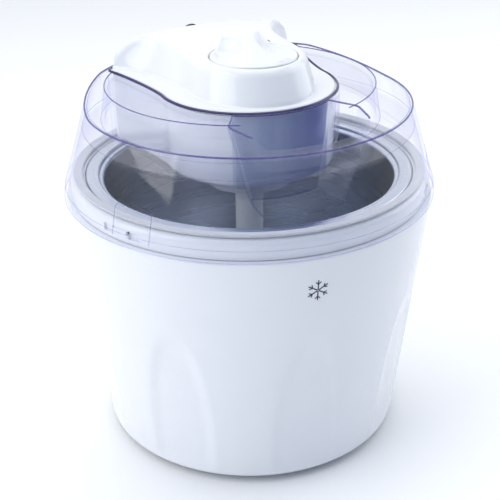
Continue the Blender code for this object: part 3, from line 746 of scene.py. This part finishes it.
def freezer_bowl(metal, steel, rubber):
    top = COLLAR_TOP + 0.1
    rim = [(BOWL_RIM_RADIUS, top - 2.2)]
    rim += arc(0.8, 0.0, math.pi / 2, 5, (BOWL_RIM_RADIUS - 0.8, top - 0.8))
    rim += arc(1.4, math.pi / 2, math.pi * 0.98, 6, (86.2, top - 1.4))
    rim += [(84.7, top - 2.1)]
    rim += arc(1.9, math.pi * 0.5, math.pi, 6, (84.0, top - 4.3))
    wall = [(82.1 + (75.9 - 82.1) * k / 12, 153.0 + (60.5 - 153.0) * k / 12) for k in range(13)]
    corner = arc(15.0, 0.0, -math.pi / 2, 14, (60.9, BOWL_FLOOR + 15.0))
    centre = [(12.0, BOWL_FLOOR), (9.0, BOWL_FLOOR + 0.3), (6.5, BOWL_FLOOR + 1.3), (3.5, BOWL_FLOOR + 1.8)]
    inside = rim + wall + corner + centre + [(0.0, BOWL_FLOOR + 1.8)]
    outside = [
        (86.0, top - 2.2),
        (83.3, top - 3.8),
        (77.2, BOWL_FLOOR + 13.6),
        (73.6, BOWL_FLOOR + 4.6),
        (64.0, BOWL_FLOOR - 1.2),
        (0.0, BOWL_FLOOR - 1.2),
    ]
    path = list(reversed(inside)) + outside
    add("bowl_pan", revolve(path, closed=False, steps=256), metal, "freezer_bowl", ["bowl_inner_pan"])
    jacket = [(87.6, top - 2.6), (87.5, top - 4.0), (82.4, 30.0), (82.2, 28.0), (81.2, 28.0), (86.5, top - 2.6)]
    add("bowl_jacket", revolve(jacket), metal, "freezer_bowl", ["bowl_outer_jacket"])
    cap = [(6.2, 24.4), (78.0, 24.4), (81.2, 24.9), (82.3, 27.6), (80.9, 27.6), (80.4, 26.0), (6.2, 26.0)]
    add("bowl_base", revolve(cap), steel, "freezer_bowl", ["bowl_bottom_cap"])
    plug = [(0.0, 25.0), (3.0, 25.0), (3.6, 24.7), (5.8, 24.7), (5.8, 26.3), (8.0, 26.3), (7.0, 27.6), (0.0, 27.6)]
    add("filler_plug", revolve(plug, False, 48), rubber, "freezer_bowl", ["gel_fill_plug"])


def seal(look):
    profile = [
        (93.8, COLLAR_TOP + 0.3),
        (97.4, COLLAR_TOP + 0.3),
        (98.4, COLLAR_TOP + 0.9),
        (99.2, COLLAR_TOP + 1.9),
        (99.1, COLLAR_TOP + 2.5),
        (98.7, COLLAR_TOP + 2.6),
        (97.0, COLLAR_TOP + 2.1),
        (94.4, COLLAR_TOP + 2.1),
        (93.8, COLLAR_TOP + 1.6),
    ]
    add("seal_ring", revolve(profile), look, "lid_seal", ["lid_seal"])


# ---------------------------------------------------------------- clear lid


def cone_radius(z):
    return CONE_FOOT_RADIUS - CONE_SLOPE * (z - CONE_FOOT_Z)


def flank(y):
    behind = y - 4.0
    return 47.6 + 0.104 * behind + 0.00176 * behind * behind


def flange_outline(grow, count=224):
    """The motor unit's plan outline as one smooth curve, grown or shrunk all round."""
    nose = arc(NOSE_RADIUS + grow, -math.pi / 2, math.radians(4.8), 14)
    sides = [(flank(y) + grow, y) for y in (10.0, 17.0, 24.0, 30.0, 36.0, 42.0, 47.0, 52.0)]
    tip_x = flank(FLANGE_TIP_Y - 3.0) + grow
    tip = [(tip_x, FLANGE_TIP_Y - 3.0)]
    start = math.atan2(FLANGE_TIP_Y + 2.0, tip_x - 3.5)
    back = arc(FLANGE_BACK_RADIUS + grow, start, math.pi / 2, 10)
    right = nose + sides + tip + back
    left = [(-x, y) for x, y in reversed(right[1:-1])]
    return resample(right + left, count)


def chute_section(z, grow):
    """Outline of the chute at a height: a curved back, bent sides and a curved front."""
    share = (z - CHUTE_BOTTOM) / (PLATFORM_TOP - CHUTE_BOTTOM)
    middle = -math.pi / 2
    back_radius = CHUTE_BACK_RADIUS - 0.75 * grow
    front_radius = CHUTE_FRONT_RADIUS + 9.5 * share + grow
    shoulder_radius = 60.0 + 8.0 * share
    back_turn = math.asin((19.0 + 8.0 * share + grow) / back_radius)
    shoulder_turn = math.asin((21.5 + 14.5 * share + grow) / shoulder_radius)
    front_turn = math.asin((23.0 + 8.5 * share + grow) / front_radius)
    soft = 4.0 + grow
    front_cut = soft / front_radius
    right = round_corner(
        polar(front_radius, middle + front_turn - front_cut),
        polar(front_radius, middle + front_turn),
        polar(shoulder_radius, middle + shoulder_turn),
        soft,
    )
    right += round_corner(
        polar(front_radius, middle + front_turn),
        polar(shoulder_radius, middle + shoulder_turn),
        polar(back_radius, middle + back_turn),
        3.0,
    )
    front = arc(front_radius, middle - front_turn + front_cut, middle + front_turn - front_cut, 20)
    back = arc(back_radius, middle + back_turn, middle - back_turn, 13)
    left = [(-x, y) for x, y in reversed(right)]
    return [(x, y, z) for x, y in front[:-1] + right + back + left[:-1]]


def round_corner(before, corner, after, soft, steps=7):
    """Points of a soft corner between two straight stretches."""
    corner = Vector(corner)
    start = corner + (Vector(before) - corner).normalized() * soft
    end = corner + (Vector(after) - corner).normalized() * soft
    made = []
    for k in range(steps + 1):
        t = k / steps
        p = start * (1 - t) ** 2 + corner * 2 * t * (1 - t) + end * t * t
        made.append((p.x, p.y))
    return made


def dish(grow, z_low, z_high, radius):
    """A solid on the motor unit's outline with a rounded bottom corner."""
    sections = []
    for k in range(7):
        turn = math.pi / 2 * k / 6
        outline = flange_outline(grow - radius * (1.0 - math.sin(turn)))
        sections.append([(x, y, z_low + radius * (1.0 - math.cos(turn))) for x, y in outline])
    sections.append([(x, y, z_high) for x, y in flange_outline(grow)])
    return loft(sections)


def drum(shrink, z_low, z_high):
    slope = (DRUM_TOP_RADIUS - DRUM_FOOT_RADIUS) / (PLATFORM_TOP - DECK_TOP)
    sections = []
    for z in (z_low, z_high):
        radius = DRUM_FOOT_RADIUS + slope * (z - DECK_TOP) - shrink
        sections.append([(x, y, z) for x, y in circle(radius, (0.0, DRUM_OFFSET), FINE)])
    return loft(sections)


def rim_line():
    """The lid's rim in the (y, z) plane: level in front, rising to the platform at the back."""
    points = [(-120.0, RIM_FRONT)]
    for k in range(15):
        share = k / 14
        points.append((2.0 + 58.0 * share, RIM_FRONT + (RIM_BACK + 0.6 - RIM_FRONT) * share**1.5))
    return points + [(60.0, RIM_BACK + 20.0), (-120.0, RIM_BACK + 20.0)]


def clear_lid(clear, dark_edge, painted_shade_look):
    wall = [(SKIRT_RADIUS, SKIRT_BOTTOM), (SKIRT_RADIUS - 0.35, 151.0), (CONE_FOOT_RADIUS, CONE_FOOT_Z)]
    wall += [
        (cone_radius(RIM_BACK), RIM_BACK),
        (cone_radius(RIM_BACK) - LID_WALL, RIM_BACK),
        (CONE_FOOT_RADIUS - LID_WALL, CONE_FOOT_Z),
        (SKIRT_RADIUS - LID_WALL - 0.3, SKIRT_BOTTOM),
    ]
    lip_line = [
        (-75.0, PLATFORM_TOP - 0.2),
        (-78.5, RIM_FRONT + 0.5),
        (-120.0, RIM_FRONT + 0.5),
        (-120.0, PLATFORM_TOP + 20.0),
        (-75.0, PLATFORM_TOP + 20.0),
    ]
    lip_top = RIM_FRONT - 0.3
    pouring_lip = polar_block(80.0, 89.6, -math.pi / 2, math.radians(20.5), lip_top - LID_WALL, lip_top)
    nubs = [polar_block(100.95, 103.4, a, math.radians(2.0), 148.9, 151.5) for a in lock_angles()]
    steps = [
        ("DIFFERENCE", side_prism(rim_line(), -120.0, 120.0)),
        ("UNION", cylinder(cone_radius(DECK_TOP) - 0.9, DECK_TOP - LID_WALL, DECK_TOP, steps=FINE)),
        ("UNION", drum(0.0, DECK_TOP - 1.3, PLATFORM_TOP - 0.1)),
        ("DIFFERENCE", drum(LID_WALL, DECK_TOP - 5.0, PLATFORM_TOP - LID_WALL - 0.1)),
        ("UNION", dish(2.6, WELL_FLOOR - LID_WALL, PLATFORM_TOP - 0.3, 5.0)),
        ("UNION", cylinder(BOSS_RADIUS, BOSS_BOTTOM, WELL_FLOOR - 1.0, steps=96)),
        ("UNION", loft([chute_section(z, LID_WALL) for z in (CHUTE_BOTTOM, PLATFORM_TOP - 0.5)])),
        ("UNION", pouring_lip),
        ("DIFFERENCE", side_prism(lip_line, -45.0, 45.0)),
        ("DIFFERENCE", dish(0.6, WELL_FLOOR, PLATFORM_TOP + 20.0, 3.6)),
        ("DIFFERENCE", cylinder(BOSS_RADIUS - LID_WALL, BOSS_BOTTOM + LID_WALL, WELL_FLOOR + 1.0, steps=96)),
        ("DIFFERENCE", cylinder(6.6, BOSS_BOTTOM - 3.0, BOSS_BOTTOM + 5.0)),
        ("DIFFERENCE", loft([chute_section(z, 0.0) for z in (CHUTE_BOTTOM - 4.0, PLATFORM_TOP + 6.0)])),
        ("UNION", merge(nubs)),
    ]
    mesh = combine(revolve(wall), steps)
    looks = (clear, painted_shade_look)
    for look in looks:
        mesh.materials.append(look)
    # the well wall's faces behind the chute get the painted shade and painted reflection streaks
    for face in mesh.polygons:
        x, y, z = (c / MM for c in face.center)
        reach = math.hypot(x, y)
        behind_chute = abs(x) < 27.0 and y < 0.0 and 48.0 < reach < 51.4 and abs(face.normal.z) < 0.3
        if behind_chute and z > WELL_FLOOR:
            face.material_index = 1
    mesh.transform(Matrix.Rotation(LID_TURN, 4, "Z"))
    finish_piece("lid_shell", mesh, clear, "lid", ["clear_lid"])

    sections = []
    for grow, z in ((0.7, 204.6), (0.75, 205.45), (1.1, 205.75), (1.7, 205.6), (2.1, 205.2)):
        sections.append([(x, y, z) for x, y in flange_outline(grow)])
    sections.append([(x, y, 204.72) for x, y in flange_outline(2.2)])
    bead = tube_loft(sections)
    add("lid_well_lip", bead, dark_edge, "lid", turn=LID_TURN)


def rim_height(y):
    share = max(0.0, min(1.0, (y - 2.0) / 58.0))
    return min(RIM_FRONT + (RIM_BACK + 0.6 - RIM_FRONT) * share**1.5, RIM_BACK)


def lid_edges(violet, lilac):
    """Rounded beads along the clear lid's edges, where light gathered in the sheet leaves it."""

    def ring(radius_of, inset, width, look, name, centre_y=0.0, start=0.0, end=math.tau):
        path = []
        steps = FINE
        for k in range(steps if end - start >= math.tau else steps + 1):
            angle = start + (end - start) * k / steps
            radius, z = radius_of(angle)
            path.append((*polar(radius - inset, angle, (0.0, centre_y)), z))
        add(name, bead(path, width, end - start >= math.tau), look, "lid", turn=LID_TURN)

    def rim(angle):
        z = RIM_FRONT
        for _ in range(4):
            z = rim_height(cone_radius(z) * math.sin(angle))
        return cone_radius(z), z

    ring(rim, 0.35, 0.5, violet, "rim_outer_bead")
    ring(rim, LID_WALL - 0.3, 0.25, lilac, "rim_inner_bead")
    ring(lambda angle: (SKIRT_RADIUS, SKIRT_BOTTOM + 0.25), 0.3, 0.28, lilac, "skirt_bead")
    ring(lambda angle: (CONE_FOOT_RADIUS, CONE_FOOT_Z), 0.12, 0.2, lilac, "shoulder_bead")
    ring(lambda angle: (cone_radius(DECK_TOP), DECK_TOP), LID_WALL, 0.22, lilac, "deck_bead")
    front = math.radians(24.0)
    start = front - math.pi / 2
    end = math.radians(63.0)
    drum_top = lambda angle: (DRUM_TOP_RADIUS, PLATFORM_TOP - 0.1)
    ring(drum_top, 0.2, 0.32, violet, "platform_bead_right", DRUM_OFFSET, start, end)
    ring(drum_top, 0.2, 0.32, violet, "platform_bead_left", DRUM_OFFSET, math.pi - end, math.pi - start)
    drum_foot = lambda angle: (DRUM_FOOT_RADIUS, DECK_TOP)
    ring(drum_foot, 0.0, 0.25, lilac, "drum_foot_bead", DRUM_OFFSET)

    top_z = PLATFORM_TOP - 0.6
    top = [p for p in chute_section(top_z, 1.0) if p[1] > -76.0]
    half = len(top) // 2
    order = sorted(range(len(top)), key=lambda i: math.atan2(top[i][0], -top[i][1]))
    outline = chute_section(top_z, 1.0)
    open_top = [p for p in outline[20:] + outline[:1] if p[1] > -76.5]
    add("chute_top_bead", bead(open_top, 0.55, False), violet, "lid", turn=LID_TURN)
    foot = chute_section(CHUTE_BOTTOM, 1.0)
    add("chute_foot_bead", bead(foot, 0.5), lilac, "lid", turn=LID_TURN)


# ---------------------------------------------------------------- motor unit


def housing_outline(top, grow, count=200):
    """Plan outline of the raised housing at its foot (top = 0) or its crown (top = 1)."""
    swell = top**2.3
    half = 35.2 - 4.2 * top + grow
    nose = 44.4 - 8.9 * top + grow
    flare_start = -5.0 * (1.0 - top)
    flare_power = 2.6 + 1.6 * top
    tip_x = 56.0 - 12.5 * swell + grow
    tip_y = 63.5 - 9.0 * swell
    back = 80.0 - 15.5 * swell + grow
    right = []
    for k in range(13):
        angle = -math.pi / 2 + k * math.pi / 24
        right.append((half * math.cos(angle), nose * math.sin(angle)))
    for k in range(1, 10):
        y = 3.0 + (tip_y - 3.0) * k / 9
        share = (y - flare_start) / (tip_y - flare_start)
        right.append((half + (tip_x - half) * share**flare_power, y))
    for share in (0.96, 0.86, 0.72, 0.48, 0.24, 0.0):
        y = back - (back - tip_y - 1.2) * share * share
        right.append((tip_x * share, y))
    left = [(-x, y) for x, y in reversed(right[1:-1])]
    return resample(right + left, count)


def housing_section(top, z, grow=0.0):
    rise = COVER_SLOPE * max(min((z - FLANGE_TOP) / (COVER_TOP - FLANGE_TOP), 1.0), 0.0)
    return [(x, y, z + rise * (y + 35.0)) for x, y in housing_outline(top, grow)]


def top_cover(look):
    flange = []
    for grow, z in ((-0.5, FLANGE_TOP - 2.4), (0.0, FLANGE_TOP - 2.0), (0.0, FLANGE_TOP - 0.5)):
        flange.append([(x, y, z) for x, y in flange_outline(grow)])
    flange.append([(x, y, FLANGE_TOP) for x, y in flange_outline(-0.5)])
    fillet = 1.2
    outside = [housing_section(0.0, FLANGE_TOP - 1.0, fillet)]
    for k in range(1, 6):
        turn = math.pi / 2 * k / 5
        z = FLANGE_TOP + fillet * (1.0 - math.cos(turn))
        outside.append(housing_section(0.0, z, fillet * (1.0 - math.sin(turn))))
    for k in range(1, 9):
        share = k / 8
        outside.append(housing_section(0.78 * share, FLANGE_TOP + fillet + (219.0 - FLANGE_TOP - fillet) * share))
    for k in range(1, 9):
        turn = math.pi / 2 * k / 8
        top = 0.78 + 0.22 * math.sin(turn)
        grow = -2.4 * (1.0 - math.cos(turn))
        outside.append(housing_section(top, 219.0 + 4.0 * math.sin(turn), grow))
    inside = [
        housing_section(0.0, FLANGE_TOP - 6.0, -2.2),
        housing_section(0.0, FLANGE_TOP - 1.0, -2.2),
        housing_section(0.8, 218.0, -2.4),
        housing_section(0.92, 219.4, -3.4),
    ]
    steps = [
        ("UNION", loft(outside)),
        ("DIFFERENCE", loft(inside)),
        ("DIFFERENCE", knob_recess()),
        ("DIFFERENCE", cylinder(4.4, 215.0, 230.0, (0.0, KNOB_Y))),
        ("DIFFERENCE", gland_bar(5.4, 60.0, GLAND_BACK + 9.0)),
    ]
    mesh = combine(loft(flange), steps)
    add("motor_cover", to_bmesh(mesh), look, "motor_unit", ["motor_top_cover"], turn=LID_TURN, sharp=40.0)


def knob_recess():
    radius = KNOB_RADIUS + 0.55
    profile = [(0.0, 221.6), (radius, 221.6), (radius, 222.6), (radius + 0.2, 223.2), (radius + 1.0, 224.6), (0.0, 224.6)]
    bm = revolve(profile, closed=False, steps=96)
    bmesh.ops.translate(bm, verts=bm.verts, vec=(0.0, KNOB_Y * MM, 0.0))
    return bm


def gland_bar(radius, y_low, y_high, steps=32):
    ring = [(x, GLAND_Z + z) for x, z in circle(radius, steps=steps)]
    return loft([[(x, y, z) for x, z in ring] for y in (y_low, y_high)])


def lower_housing(look):
    steps = [
        ("UNION", cylinder(BOSS_RADIUS - 2.6, BOSS_BOTTOM + 2.5, WELL_FLOOR + 1.5, steps=96)),
        ("DIFFERENCE", prism(flange_outline(-2.7), WELL_FLOOR + 2.8, FLANGE_TOP + 5.0)),
        ("DIFFERENCE", cylinder(BOSS_RADIUS - 4.8, BOSS_BOTTOM + 4.7, WELL_FLOOR + 5.0, steps=96)),
        ("DIFFERENCE", cylinder(7.0, BOSS_BOTTOM, BOSS_BOTTOM + 8.0)),
    ]
    spots = [(-40.5, 8.0), (40.5, 8.0), (-47.0, 50.0), (47.0, 50.0)]
    for spot in spots:
        steps.append(("DIFFERENCE", cylinder(3.3, WELL_FLOOR - 1.0, WELL_FLOOR + 2.0, spot, 32)))
    mesh = combine(dish(-0.5, WELL_FLOOR + 0.6, FLANGE_TOP - 2.8, 3.0), steps)
    add("motor_housing", to_bmesh(mesh), look, "motor_unit", ["motor_lower_housing"], turn=LID_TURN)


def gland(look):
    profile = [(3.0, 0.0), (5.0, 0.0), (5.0, 10.6), (6.6, 10.6), (6.6, 12.4), (5.9, 13.0), (5.0, 13.3), (4.6, 16.0), (3.0, 16.0)]
    bm = revolve(profile, steps=48)
    bmesh.ops.rotate(bm, verts=bm.verts, cent=(0.0, 0.0, 0.0), matrix=Matrix.Rotation(-math.pi / 2, 3, "X"))
    bmesh.ops.translate(bm, verts=bm.verts, vec=(0.0, (GLAND_BACK - 16.0) * MM, GLAND_Z * MM))
    add("cord_inlet", bm, look, "motor_unit", ["cord_gland"], turn=LID_TURN)


def knob_height(x, y):
    """Top of the knob: a fin between two round finger scoops, low in front and high behind."""
    reach = math.hypot(x, y)
    rim = 224.0
    scoop_edge = math.hypot(abs(x) - 26.0, y) - 20.0
    climb = smooth_step((y + 24.0) / 40.0)
    fin = rim + 0.9 + (KNOB_TOP - 1.2 - rim) * climb
    side = smooth_step((scoop_edge + 3.4) / 7.4)
    end = smooth_step((23.2 - reach) / 2.8)
    sunk = 1.3 * smooth_step((-scoop_edge - 1.0) / 6.0) * smooth_step((22.6 - reach) / 4.0)
    return rim - sunk + (fin - rim) * side * end


def knob(look):
    rings = 44
    spokes = 144
    bm = bmesh.new()
    levels = []
    middle = bm.verts.new((0.0, 0.0, knob_height(0.0, 0.0) * MM))
    for i in range(1, rings + 1):
        radius = (KNOB_RADIUS - 0.7) * i / rings
        level = []
        for k in range(spokes):
            x, y = polar(radius, math.tau * k / spokes)
            level.append(bm.verts.new((x * MM, y * MM, knob_height(x, y) * MM)))
        levels.append(level)
    for radius, z in ((KNOB_RADIUS - 0.2, 223.7), (KNOB_RADIUS, 223.2), (KNOB_RADIUS, 222.2), (22.6, 221.9)):
        levels.append([bm.verts.new((*(c * MM for c in polar(radius, math.tau * k / spokes)), z * MM)) for k in range(spokes)])
    for k in range(spokes):
        j = (k + 1) % spokes
        bm.faces.new((middle, levels[0][k], levels[0][j]))
        for low, high in zip(levels, levels[1:]):
            bm.faces.new((low[k], high[k], high[j], low[j]))
    bm.faces.new(list(reversed(levels[-1])))
    add("knob", bm, look, "knob", ["control_knob"], at=(0.0, KNOB_Y), turn=LID_TURN, sharp=50.0)


# ---------------------------------------------------------------- drive and paddle


def drive_shaft(look):
    rod = [(0.0, PADDLE_TOP + 0.6), (4.0, PADDLE_TOP + 0.6), (4.0, 178.4), (3.4, 179.0), (0.0, 179.0)]
    square = soften(combine(prism(rectangle(-2.8, 2.8, -2.8, 2.8), 122.0, PADDLE_TOP + 2.0), []), 0.5, 3)
    mesh = combine(revolve(rod, closed=False, steps=64), [("UNION", to_bmesh(square))])
    add("spindle_shaft", to_bmesh(mesh), look, "drive", ["drive_shaft"], turn=PADDLE_ANGLE)


def paddle(look):
    blade = [(-6.0, 111.0), (-66.0, 104.0), (-72.5, 98.0), (-69.5, 60.0), (-58.0, 49.5)]
    blade += [(-x, z) for x, z in reversed(blade)]
    half = 2.2
    windows = []
    for side in (-1, 1):
        lower = [(14.0, 58.0), (56.0, 58.0), (62.0, 64.0), (14.0, 74.0)]
        upper = [(14.0, 82.0), (63.0, 71.0), (65.0, 95.0), (14.0, 101.0)]
        for window in (lower, upper):
            windows.append(loft([[(side * x, y, z) for x, z in window] for y in (-5.0, 5.0)]))
    plate = loft([[(x, y, z) for x, z in blade] for y in (-half, half)])
    plate = combine(plate, [("DIFFERENCE", merge(windows))])
    plate = soften(plate, 1.1, 4, 30.0)
    stem = [(0.0, 51.0), (STEM_RADIUS - 2.6, 51.0), (STEM_RADIUS - 2.0, 51.8), (STEM_RADIUS, 110.0)]
    stem += [(STEM_RADIUS, PADDLE_TOP - 0.8), (STEM_RADIUS - 0.8, PADDLE_TOP), (0.0, PADDLE_TOP)]
    steps = [
        ("UNION", to_bmesh(plate)),
        ("DIFFERENCE", prism(rectangle(-3.4, 3.4, -3.4, 3.4), 120.0, 150.0)),
    ]
    mesh = combine(revolve(stem, closed=False, steps=96), steps)
    add("stirring_paddle", to_bmesh(mesh), look, "paddle", ["paddle"], turn=PADDLE_ANGLE)


# ---------------------------------------------------------------- printed marks


def print_mark(name, strokes, look, body, place, lift=0.14):
    """Thin strokes on a surface. place(u, v, lift) turns millimetres on the print into a point."""
    bm = bmesh.new()
    for outline in strokes:
        low = [bm.verts.new(Vector(place(u, v, 0.02)) * MM) for u, v in outline]
        high = [bm.verts.new(Vector(place(u, v, lift)) * MM) for u, v in outline]
        bm.faces.new(list(reversed(low)))
        bm.faces.new(high)
        for i in range(len(outline)):
            j = (i + 1) % len(outline)
            bm.faces.new((low[i], low[j], high[j], high[i]))
    add(name, bm, look, body, sharp=20.0)


def bar(start, end, width):
    """A straight stroke as a four-cornered outline."""
    a = Vector(start)
    b = Vector(end)
    side = (b - a).orthogonal().normalized() * (width / 2)
    return [tuple(a + side), tuple(a - side), tuple(b - side), tuple(b + side)]


def ring_strokes(radius, width, steps=28):
    made = []
    for k in range(steps):
        a = math.tau * k / steps
        b = math.tau * (k + 1) / steps
        made.append([polar(radius + width / 2, a), polar(radius - width / 2, a),
                     polar(radius - width / 2, b), polar(radius + width / 2, b)])
    return made


def marks(ink):
    """A generic snowflake on the body, and off and on marks beside the knob."""
    flake = []
    for k in range(6):
        angle = math.pi / 2 + k * math.pi / 3
        flake.append(bar(polar(0.4, angle), polar(6.0, angle), 0.62))
        for lean in (-1, 1):
            root = polar(3.5, angle)
            flake.append(bar(root, polar(2.0, angle + lean * math.pi / 4, root), 0.52))

    def on_body(u, v, lift):
        z = 128.0 + v
        radius = body_radius(z) + lift
        angle = -math.pi / 2 + u / radius
        return (*polar(radius, angle), z)

    print_mark("snowflake_mark", flake, ink, "base", on_body)

    def beside_knob(radius, turn):
        def place(u, v, lift):
            x, y = polar(radius, math.pi / 2 + turn, (0.0, KNOB_Y))
            x += u
            y += v
            z = COVER_TOP + COVER_SLOPE * (y + 35.0) + lift
            return (x * math.cos(LID_TURN) - y * math.sin(LID_TURN), x * math.sin(LID_TURN) + y * math.cos(LID_TURN), z)
        return place

    off_place = beside_knob(30.2, math.radians(2.5))
    on_place = beside_knob(29.1, -math.radians(42))
    print_mark("off_mark", ring_strokes(1.3, 0.45), ink, "motor_unit", off_place)
    print_mark("on_mark", [bar((0.0, -1.5), (0.0, 1.5), 0.5)], ink, "motor_unit", on_place)


def lock_windows(look):
    """Low moulded ribs round the three places where the lid locks."""
    half = 12.0
    top = 15.0
    soft = 4.0
    path = [(-half, -2.5), (-half, top - soft)]
    path += [polar(soft, math.pi - math.pi / 2 * k / 5, (soft - half, top - soft)) for k in range(1, 6)]
    path += [(-u, v) for u, v in reversed(path)]
    strokes = [bar(a, b, 0.55) for a, b in zip(path, path[1:]) if a != b]
    for k, angle in enumerate(lock_angles()):
        def on_cone(u, v, lift, middle=angle + LID_TURN):
            z = CONE_FOOT_Z + v
            radius = cone_radius(z) + lift - 0.1 if v >= 0.0 else CONE_FOOT_RADIUS + lift - 0.1
            return (*polar(radius, middle + u / radius), z)
        print_mark(f"lock_window_{k + 1}", strokes, look, "lid", on_cone, 0.3)


# ---------------------------------------------------------------- the whole scene


def keep_nodes(looks):
    """Give the CAD nodes that stay in view their finished materials."""
    for node, look in looks.items():
        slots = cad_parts[node].material_slots
        for slot in slots:
            slot.material = look


def main():
    camera()
    studio()
    white = surface("white_shell", (0.80, 0.82, 0.865), (0.83, 0.85, 0.885), (0.16, 0.24), relief=0.03,
                    Coat_Weight=0.3, Coat_Roughness=0.06)
    grey = surface("liner_plastic", (0.58, 0.60, 0.65), (0.63, 0.65, 0.69), (0.42, 0.55), relief=0.12)
    rubber = surface("foot_rubber", (0.055, 0.055, 0.06), (0.08, 0.08, 0.085), (0.7, 0.85), relief=0.2)
    nylon = surface("paddle_nylon", (0.82, 0.83, 0.84), (0.86, 0.87, 0.87), (0.3, 0.42), relief=0.06,
                    Subsurface_Weight=0.1)
    silicone = surface("seal_silicone", (0.78, 0.80, 0.84), (0.83, 0.85, 0.88), (0.42, 0.55), relief=0.05,
                       Transmission_Weight=0.3)
    black = surface("black_moulding", (0.012, 0.012, 0.014), (0.02, 0.02, 0.023), (0.4, 0.55), relief=0.15)
    brass = spun_metal("sintered_brass", (0.62, 0.46, 0.22), (0.72, 0.55, 0.28), (0.3, 0.42), 1500.0)
    zinc = surface("zinc_sheet", (0.50, 0.52, 0.55), (0.60, 0.62, 0.66), (0.32, 0.5), 1.0)
    gel = surface("frozen_gel", (0.25, 0.47, 0.78), (0.35, 0.57, 0.85), (0.3, 0.45))
    ink = surface("navy_print", (0.012, 0.014, 0.04), (0.02, 0.022, 0.055), (0.35, 0.45), relief=0.05)
    bowl = spun_metal("satin_aluminium", (0.64, 0.69, 0.78), (0.69, 0.735, 0.82), (0.24, 0.32), 500.0)
    steel = spun_metal("satin_steel", (0.55, 0.56, 0.58), (0.64, 0.65, 0.67), (0.24, 0.38), 1400.0)
    clear = clear_plastic("clear_lid_plastic", (0.983, 0.985, 0.996), (0.70, 0.69, 0.90))
    edge = free_edge("violet_edge", (0.05, 0.035, 0.20), (0.22, 0.20, 0.45), (0.3, 0.85))
    # painted shade and painted reflection streaks for the well wall behind the chute
    painted_shade_look = painted_shade_wall("painted_shade_well_wall", (0.80, 0.83, 0.89), (0.58, 0.62, 0.78))
    rib = clear_plastic("lid_rib_plastic", (0.86, 0.87, 0.94), (0.55, 0.54, 0.80))
    dark_edge = free_edge("navy_edge", (0.012, 0.010, 0.075), (0.03, 0.025, 0.14), (0.9, 1.0))

    body_shell(white)
    collar(white)
    base_inside(grey, white, rubber, steel)
    freezer_bowl(bowl, steel, rubber)
    seal(silicone)
    clear_lid(clear, dark_edge, painted_shade_look)
    lid_edges(edge, rib)
    top_cover(white)
    lower_housing(white)
    gland(black)
    knob(white)
    drive_shaft(steel)
    paddle(nylon)
    marks(ink)
    lock_windows(rib)
    keep_nodes({
        "base_plate": white,
        "cooling_gel": gel,
        "gearbox_plate": zinc,
        "motor_can": steel,
        "motor_shaft": steel,
        "knob_spindle": steel,
        "motor_pinion": nylon,
        "output_gear": nylon,
        "rotary_switch": black,
        "shaft_bush": brass,
        **{f"cover_screw_{k}": steel for k in range(1, 5)},
        **{f"plate_screw_{k}": steel for k in range(1, 5)},
    })


main()
